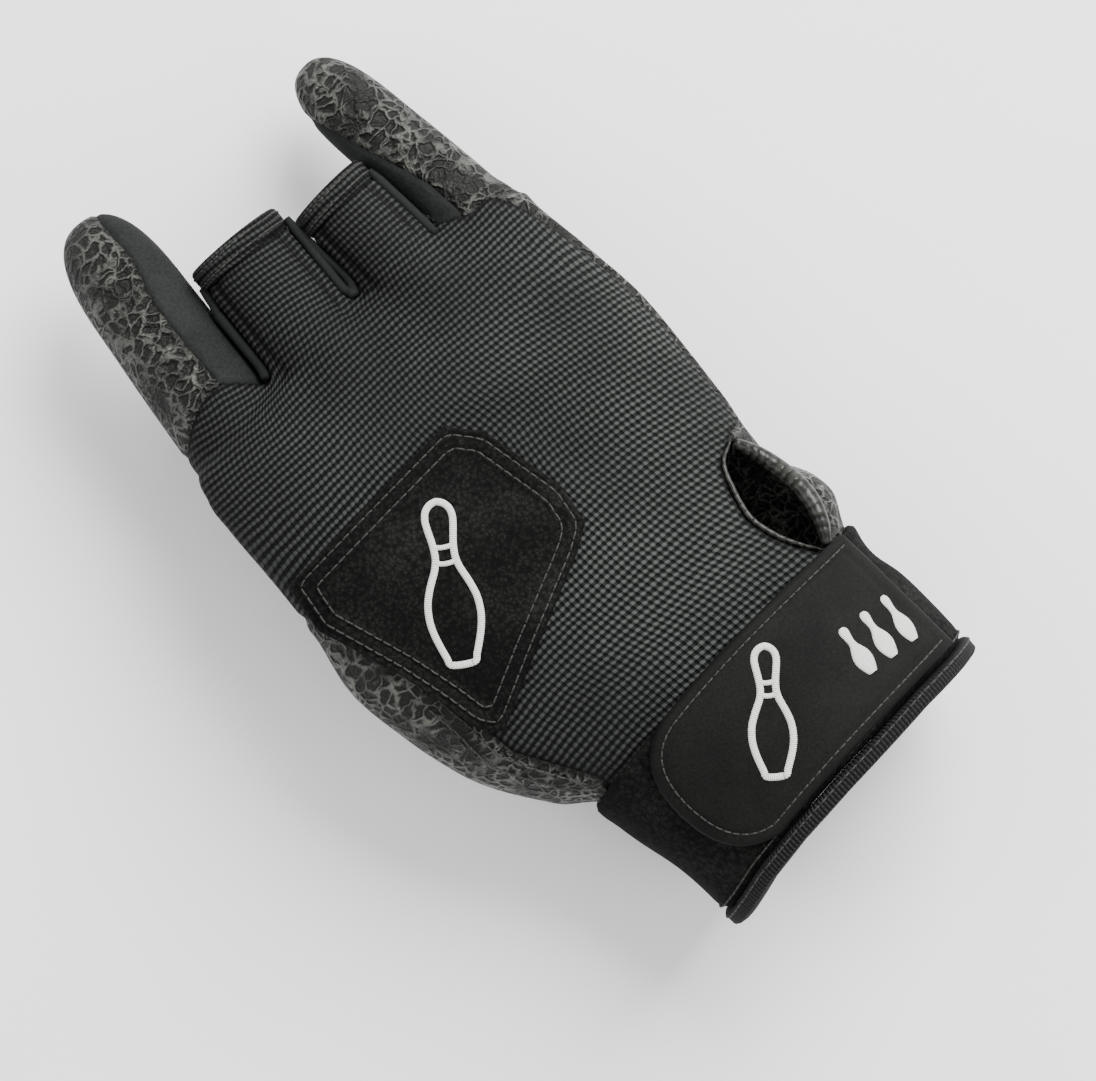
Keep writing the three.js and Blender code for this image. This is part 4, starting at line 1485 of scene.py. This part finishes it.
def band(low_line, high_line, inner, outer, steps):
    """A band round the wrist between two lines across it"""
    angle = even_angles(BAND_STATIONS)
    x = body_point(angle, np.zeros(BAND_STATIONS), outer)[:, 0]
    low, high = low_line(x), high_line(x)
    section = band_section(inner, outer, steps)
    rings = np.array([body_point(angle, low + (high - low) * up, offset) for up, offset in section])
    made = swept(rings.transpose(1, 0, 2), True)
    lengths = lengths_along(rings[0])
    turn = np.tile(np.arange(len(section)) / len(section), BAND_STATIONS)
    made["run"] = np.column_stack([np.repeat(lengths, len(section)), turn, made.points[:, 1]])
    return made


class MakeCuff(bpy.types.Operator):
    """Makes the loop band round the wrist and the ribbed binding of its lower edge"""

    bl_idname = "glove.cuff"
    bl_label = "Cuff"

    def execute(self, context):
        loops = band(cuff_bottom, cuff_top, CUFF_INNER, CUFF_OUTER, 36)
        make_piece("loop_cuff", loops, finish("loop_band"), ["cuff_band"], ["run"])
        edge = band(binding_bottom, binding_top, 0.1, CUFF_OUTER + 0.6, 14)
        make_piece("cuff_edge_rib", edge, finish("edge_binding"), ["cuff_binding"], ["run"])
        return {"FINISHED"}


def quadratic(start, control, end):
    """Points of a curve from start to end, drawn towards the control point"""
    t = np.linspace(0, 1, 14)[:, None]
    start, control, end = (np.array(p, float) for p in (start, control, end))
    return (1 - t) ** 2 * start + 2 * t * (1 - t) * control + t**2 * end


def strap_outline():
    """The strap's outline seen from the back, from its fold round its rounded end"""
    middle = CUFF_LOW + CUFF_HEIGHT * STRAP_MIDDLE
    tip, root = STRAP_TIP * BODY_BREADTH, STRAP_ROOT * BODY_BREADTH
    half = STRAP_WIDTH / 2
    narrow = half - STRAP_TAPER
    top, bottom = middle + half, middle - half
    between = (root + tip) / 2
    turn = tip + STRAP_CORNER
    corners = [
        quadratic((root, middle + narrow), (between, top + STRAP_TAPER), (turn, middle + narrow)),
        quadratic((turn, middle + narrow), (tip, top - STRAP_CORNER / 4), (tip, middle)),
        quadratic((tip, middle), (tip, bottom + STRAP_CORNER / 6), (turn, bottom)),
        quadratic((turn, bottom), (between, bottom + 2 * STRAP_TAPER), (root, middle - narrow)),
    ]
    return np.vstack([corner[:-1] for corner in corners] + [[[root, middle - narrow]]])


def wrist_surface(offset):
    """A piece of the wrist's back as a fine net, raised off the body"""
    angle = np.linspace(math.radians(12), math.radians(172), 150)
    y = np.arange(CUFF_LOW - 4, CUFF_LOW + CUFF_HEIGHT + 8, 0.6)
    grid_angle, grid_y = np.meshgrid(angle, y, indexing="ij")
    points = body_point(grid_angle.ravel(), grid_y.ravel(), offset)
    number = np.arange(len(points)).reshape(grid_angle.shape)
    a, b, c, d = number[:-1, :-1], number[1:, :-1], number[1:, 1:], number[:-1, 1:]
    faces = np.vstack([np.stack([a, d, c], -1).reshape(-1, 3), np.stack([a, c, b], -1).reshape(-1, 3)])
    surface = Surface(points, faces)
    surface["normal"] = gradient(body_distance, points)
    return surface


class MakeStrap(bpy.types.Operator):
    """Makes the closure strap with its rounded end"""

    bl_idname = "glove.strap"
    bl_label = "Closure strap"

    def execute(self, context):
        surface = wrist_surface(STRAP_INNER)
        depth = outline_depth(strap_outline(), surface.points)
        surface["edge"] = depth
        made = surface.cut(depth).largest()
        edge = np.maximum(made["edge"], 0)
        dip = 0.22 * bell(edge - 3.0, 0.6)
        height = (STRAP_OUTER - STRAP_INNER) * (0.25 + 0.75 * rounding(edge, 1.2)) - dip
        made.points = made.points + made["normal"] * height[:, None]
        solid = made.thickened(height)
        make_piece("strap_face", solid, finish("strap_face"), ["closure_strap"], ["edge"])
        return {"FINISHED"}


# Thread work

# Half a pin's outline: half its width against the height, both in shares of the height
PIN_PROFILE = [
    (0, 0.068), (0.05, 0.094), (0.15, 0.13), (0.225, 0.15), (0.3, 0.159), (0.392, 0.152), (0.483, 0.123),
    (0.575, 0.082), (0.625, 0.066), (0.667, 0.06), (0.725, 0.062), (0.783, 0.07), (0.842, 0.08), (0.9, 0.085),
    (0.95, 0.073), (0.985, 0.042), (1, 0.004),
]
PIN_BANDS = (0.63, 0.73)
SATIN_HEIGHT = 0.4
# The section of a line of satin stitch, across it and up in shares of half its width and of its height
SATIN_SECTION = np.array([
    (1, -0.6), (1, 0.2), (0.75, 0.72), (0.35, 0.96), (-0.35, 0.96), (-0.75, 0.72), (-1, 0.2), (-1, -0.6),
])


def satin(route, normals, half, height, closed=False):
    """A flat line of satin stitch along a route, which reaches half its width to each side"""
    _, aside = directions(route, normals, closed)
    half = np.broadcast_to(half, len(route))[:, None, None]
    out = half * SATIN_SECTION[:, :1] * aside[:, None]
    made = swept(route[:, None] + out + height * SATIN_SECTION[:, 1:] * normals[:, None], closed)
    lengths = lengths_along(route)
    run = np.repeat(lengths, len(SATIN_SECTION))
    if not closed:
        run = np.append(run, [0, lengths[-1]])
    made["run"] = np.column_stack([run, 0 * run, 0 * run])
    return made


def pin_places(middle, height, lean, rows):
    """Places seen from above for (across, up) shares of a pin's height, with the pin centred and leaning"""
    turn = math.radians(lean)
    rows = np.array(rows, float) - (0, 0.5)
    across, up = rows[:, 0] * height, rows[:, 1] * height
    x = middle[0] + across * math.cos(turn) + up * math.sin(turn)
    y = middle[1] - across * math.sin(turn) + up * math.cos(turn)
    return np.column_stack([x, y])


def pin_outline(middle, height, lean):
    """Even places round a pin's outline"""
    heights, widths = np.array(PIN_PROFILE).T
    right = np.column_stack([widths, heights])
    left = right[::-1] * (-1, 1)
    corners = pin_places(middle, height, lean, np.vstack([right, left]))
    return even_route(curve_through(corners, 6, True), 0.5, True)


def pin_band(middle, height, lean, at):
    """Places across a pin's neck, on a shallow bow"""
    half = np.interp(at, *zip(*PIN_PROFILE))
    share = np.linspace(-1, 1, 15)
    rows = np.column_stack([share * half, at - 0.012 * (1 - share**2)])
    return pin_places(middle, height, lean, rows)


def outlined_pin(on, middle, height, lean):
    """A pin's outline and its two neck bands in satin stitch on a surface"""
    half = sizes().satin_width / MM / 2
    route, normals = on(pin_outline(middle, height, lean))
    made = [satin(route, normals, half, SATIN_HEIGHT, True)]
    for at in PIN_BANDS:
        route, normals = on(pin_band(middle, height, lean, at))
        made.append(satin(route, normals, half * 0.7, SATIN_HEIGHT))
    return joined(made)


def solid_pin(on, middle, height, lean):
    """A pin filled with satin stitch laid across it"""
    at = np.linspace(0.01, 0.99, 40)
    places = pin_places(middle, height, lean, np.column_stack([0 * at, at]))
    route, normals = on(places)
    return satin(route, normals, np.interp(at, *zip(*PIN_PROFILE)) * height * 1.15, SATIN_HEIGHT)


def on_piece(name, places):
    """A made piece's face under places seen from above, with its normals"""
    if name not in made_faces:
        raise RuntimeError(f"{name} has to be made before the thread work on it")
    down = Vector((0, 0, -1))
    found = [made_faces[name].ray_cast(Vector((x, y, 80)), down) for x, y in places]
    points = np.array([hit[0] for hit in found])
    normals = np.array([hit[1] for hit in found])
    for _ in range(3):
        normals[1:-1] = normals[:-2] + 2 * normals[1:-1] + normals[2:]
        normals /= np.linalg.norm(normals, axis=1)[:, None]
    return points, normals


def on_patch(places):
    return on_piece("pile_patch", places)


def on_strap(places):
    return on_piece("strap_face", places)


# The middles of the pins seen from above, their heights and how far they lean from +Y, in degrees
PATCH_PIN = dict(middle=(-27.5, 76.5), height=34, lean=36)
STRAP_PIN = dict(middle=(-0.2, 10.6), height=27, lean=40)
SMALL_PINS = [(21.4, 6.4), (26.9, 5.5), (32.4, 4.6)]
SMALL_PIN_HEIGHT = 11.5
SMALL_PIN_LEAN = 9


class MakeEmbroidery(bpy.types.Operator):
    """Makes the white pins in satin stitch on the patch and on the strap"""

    bl_idname = "glove.embroidery"
    bl_label = "Embroidery"

    def execute(self, context):
        patch = outlined_pin(on_patch, **PATCH_PIN)
        make_piece("patch_pin", patch, finish("embroidery"), values=["run"])
        strap = outlined_pin(on_strap, **STRAP_PIN)
        make_piece("strap_pin", strap, finish("embroidery"), values=["run"])
        small = [solid_pin(on_strap, middle, SMALL_PIN_HEIGHT, SMALL_PIN_LEAN) for middle in SMALL_PINS]
        make_piece("strap_small_pins", joined(small), finish("embroidery"), values=["run"])
        return {"FINISHED"}


def thread_row(name, route, normals, closed=False, pitch=None):
    """Makes a piece of a row of lockstitches, with the set pitch unless another is given"""
    s = sizes()
    made = stitch_row(route, normals, pitch or s.stitch_pitch / MM, s.thread / MM, closed)
    make_piece(name, made, finish("thread"), values=["run"])


class MakeStitches(bpy.types.Operator):
    """Makes the rows of lockstitch on the patch, the strap, the cuff, the hems and the palm's strip"""

    bl_idname = "glove.stitches"
    bl_label = "Stitches"

    def execute(self, context):
        patch = place(PATCH_OUTLINE)
        for name, inset in zip(("patch_stitch_outer", "patch_stitch_inner"), PATCH_SEAMS):
            line = even_route(grown(patch, -inset), 0.8, True)
            thread_row(name, *on_patch(line), True)
        line = grown(strap_outline(), -STRAP_SEAM)
        line[0, 0] = line[-1, 0] = strap_outline()[0, 0] - 0.8
        thread_row("strap_stitch", *on_strap(even_route(line, 0.8)), False, STRAP_STITCH)
        angle = even_angles(240)
        x = body_point(angle, np.zeros(240), CUFF_OUTER)[:, 0]
        for name, above, offset in (("cuff_stitch_upper", 1.4, 0), ("cuff_stitch_lower", -1.2, 0.6)):
            route = body_point(angle, cuff_bottom(x) + above, CUFF_OUTER + offset)
            thread_row(name, route, gradient(body_distance, route), True)
        angle = even_angles(90)
        for name in ("middle", "ring"):
            for row, way in zip(("outer", "inner"), HEM_SEAMS):
                route = hem_ring(name, way, 0.9 * sizes().hem_extra / MM, angle)
                normals = route - hem_ring(name, way, -2, angle)
                normals /= np.linalg.norm(normals, axis=1)[:, None]
                thread_row(f"{name}_hem_stitch_{row}", route, normals, True, HEM_STITCH)
        strip = curve_through(place(STRIP_LINE), 10)
        for name, aside in (("strip_stitch_inner", 1.6), ("strip_stitch_outer", 4.4)):
            thread_row(name, *on_back(even_route(strip - (aside, 0), 0.8), 0.3))
        return {"FINISHED"}


def stage_object(name, data):
    """A new object of the stage"""
    made = bpy.data.objects.new(name, data)
    bpy.context.scene.collection.objects.link(made)
    return made


def make_floor(stage):
    """Makes the pale floor, just under the lowest place of the frame"""
    mesh = bpy.data.meshes.new("floor")
    reach = 2.5
    corners = [(-reach, -reach, 0), (reach, -reach, 0), (reach, reach, 0), (-reach, reach, 0)]
    mesh.from_pydata(corners, [], [(0, 1, 2, 3)])
    floor = stage_object("floor", mesh)
    floor.location.z = CAD_BOX[0][2] - 0.001
    shader = Shader("pale floor", Roughness=0.9)
    grain = shader.noise(shader.position(), 30, 2)
    light = tuple(min(1, 1.03 * c) for c in stage.floor)
    mesh.materials.append(shader.done(shader.mix(grain, tuple(stage.floor), light)))


def make_lights(stage, middle):
    """Makes the even light of the room and the soft lights, aimed at the middle of the picture"""
    world = bpy.data.worlds.new("room")
    world.use_nodes = True
    even_light = world.node_tree.nodes["Background"].inputs
    even_light["Color"].default_value = (1, 1, 1, 1)
    even_light["Strength"].default_value = stage.room
    bpy.context.scene.world = world
    lights = [
        ("key", (0.75, 0.3, 0.75), stage.key, 0.7),
        ("fill", (-0.5, 0.6, 0.7), stage.fill, 0.6),
        ("back", (0.2, -0.7, 0.6), stage.fill, 0.6),
    ]
    for name, at, power, size in lights:
        lamp = bpy.data.lights.new(name, "AREA")
        lamp.energy = power
        lamp.size = size
        holder = stage_object(name, lamp)
        holder.location = at
        holder.rotation_euler = (middle - Vector(at)).to_track_quat("-Z", "Y").to_euler()


def make_camera(stage, middle):
    """Makes the camera straight above the middle of the picture, turned as the picture is"""
    camera = bpy.data.cameras.new("camera")
    camera.lens = stage.lens
    camera.sensor_width = SENSOR_WIDTH
    camera.clip_start = 0.01
    holder = stage_object("camera", camera)
    height = stage.lens * PICTURE_SIZE[0] / (SENSOR_WIDTH * PIXELS_PER_MM) * MM
    turn = math.radians(PICTURE_TURN)
    right = Vector((math.sin(turn), -math.cos(turn), 0))
    up = Vector((math.cos(turn), math.sin(turn), 0))
    back = Vector((0, 0, 1))
    facing = Matrix((right, up, back)).transposed().to_4x4()
    holder.matrix_world = Matrix.Translation(middle + back * height) @ facing
    bpy.context.scene.camera = holder


class MakeStage(bpy.types.Operator):
    """Makes the pale floor, the soft lights and the camera straight above the glove's back"""

    bl_idname = "glove.stage"
    bl_label = "Stage"

    def execute(self, context):
        stage = context.scene.glove_stage
        middle = Vector((PICTURE_MIDDLE[0] * MM, PICTURE_MIDDLE[1] * MM, 0))
        make_floor(stage)
        make_lights(stage, middle)
        make_camera(stage, middle)
        return {"FINISHED"}


OPERATORS = [
    MakeKnitBack, MakePalm, MakeStalls, MakeHems, MakeSleeveEdges, MakeThumbBinding, MakeSlitTrim, MakePatch,
    MakeCuff, MakeStrap, MakeStitches, MakeEmbroidery, MakeStage,
]
GROUPS = [GloveSizes, GloveColours, GloveStage]


class GlovePanel(bpy.types.Panel):
    """Lists the pieces of the glove and its settings"""

    bl_idname = "VIEW3D_PT_glove"
    bl_label = "Bowling glove"
    bl_space_type = "VIEW_3D"
    bl_region_type = "UI"
    bl_category = "Glove"

    def draw(self, context):
        for operator in OPERATORS:
            self.layout.operator(operator.bl_idname)
        for group in (context.scene.glove_sizes, context.scene.glove_colours, context.scene.glove_stage):
            for name in group.bl_rna.properties.keys():
                if name not in ("rna_type", "name"):
                    self.layout.prop(group, name)


CLASSES = GROUPS + OPERATORS + [GlovePanel]


def register():
    for each in CLASSES:
        bpy.utils.register_class(each)
    bpy.types.Scene.glove_sizes = PointerProperty(type=GloveSizes)
    bpy.types.Scene.glove_colours = PointerProperty(type=GloveColours)
    bpy.types.Scene.glove_stage = PointerProperty(type=GloveStage)


def unregister():
    del bpy.types.Scene.glove_sizes, bpy.types.Scene.glove_colours, bpy.types.Scene.glove_stage
    for each in reversed(CLASSES):
        bpy.utils.unregister_class(each)


def main():
    """Makes every piece in order"""
    register()
    for operator in OPERATORS:
        group, name = operator.bl_idname.split(".")
        getattr(getattr(bpy.ops, group), name)()


if __name__ == "__main__":
    main()
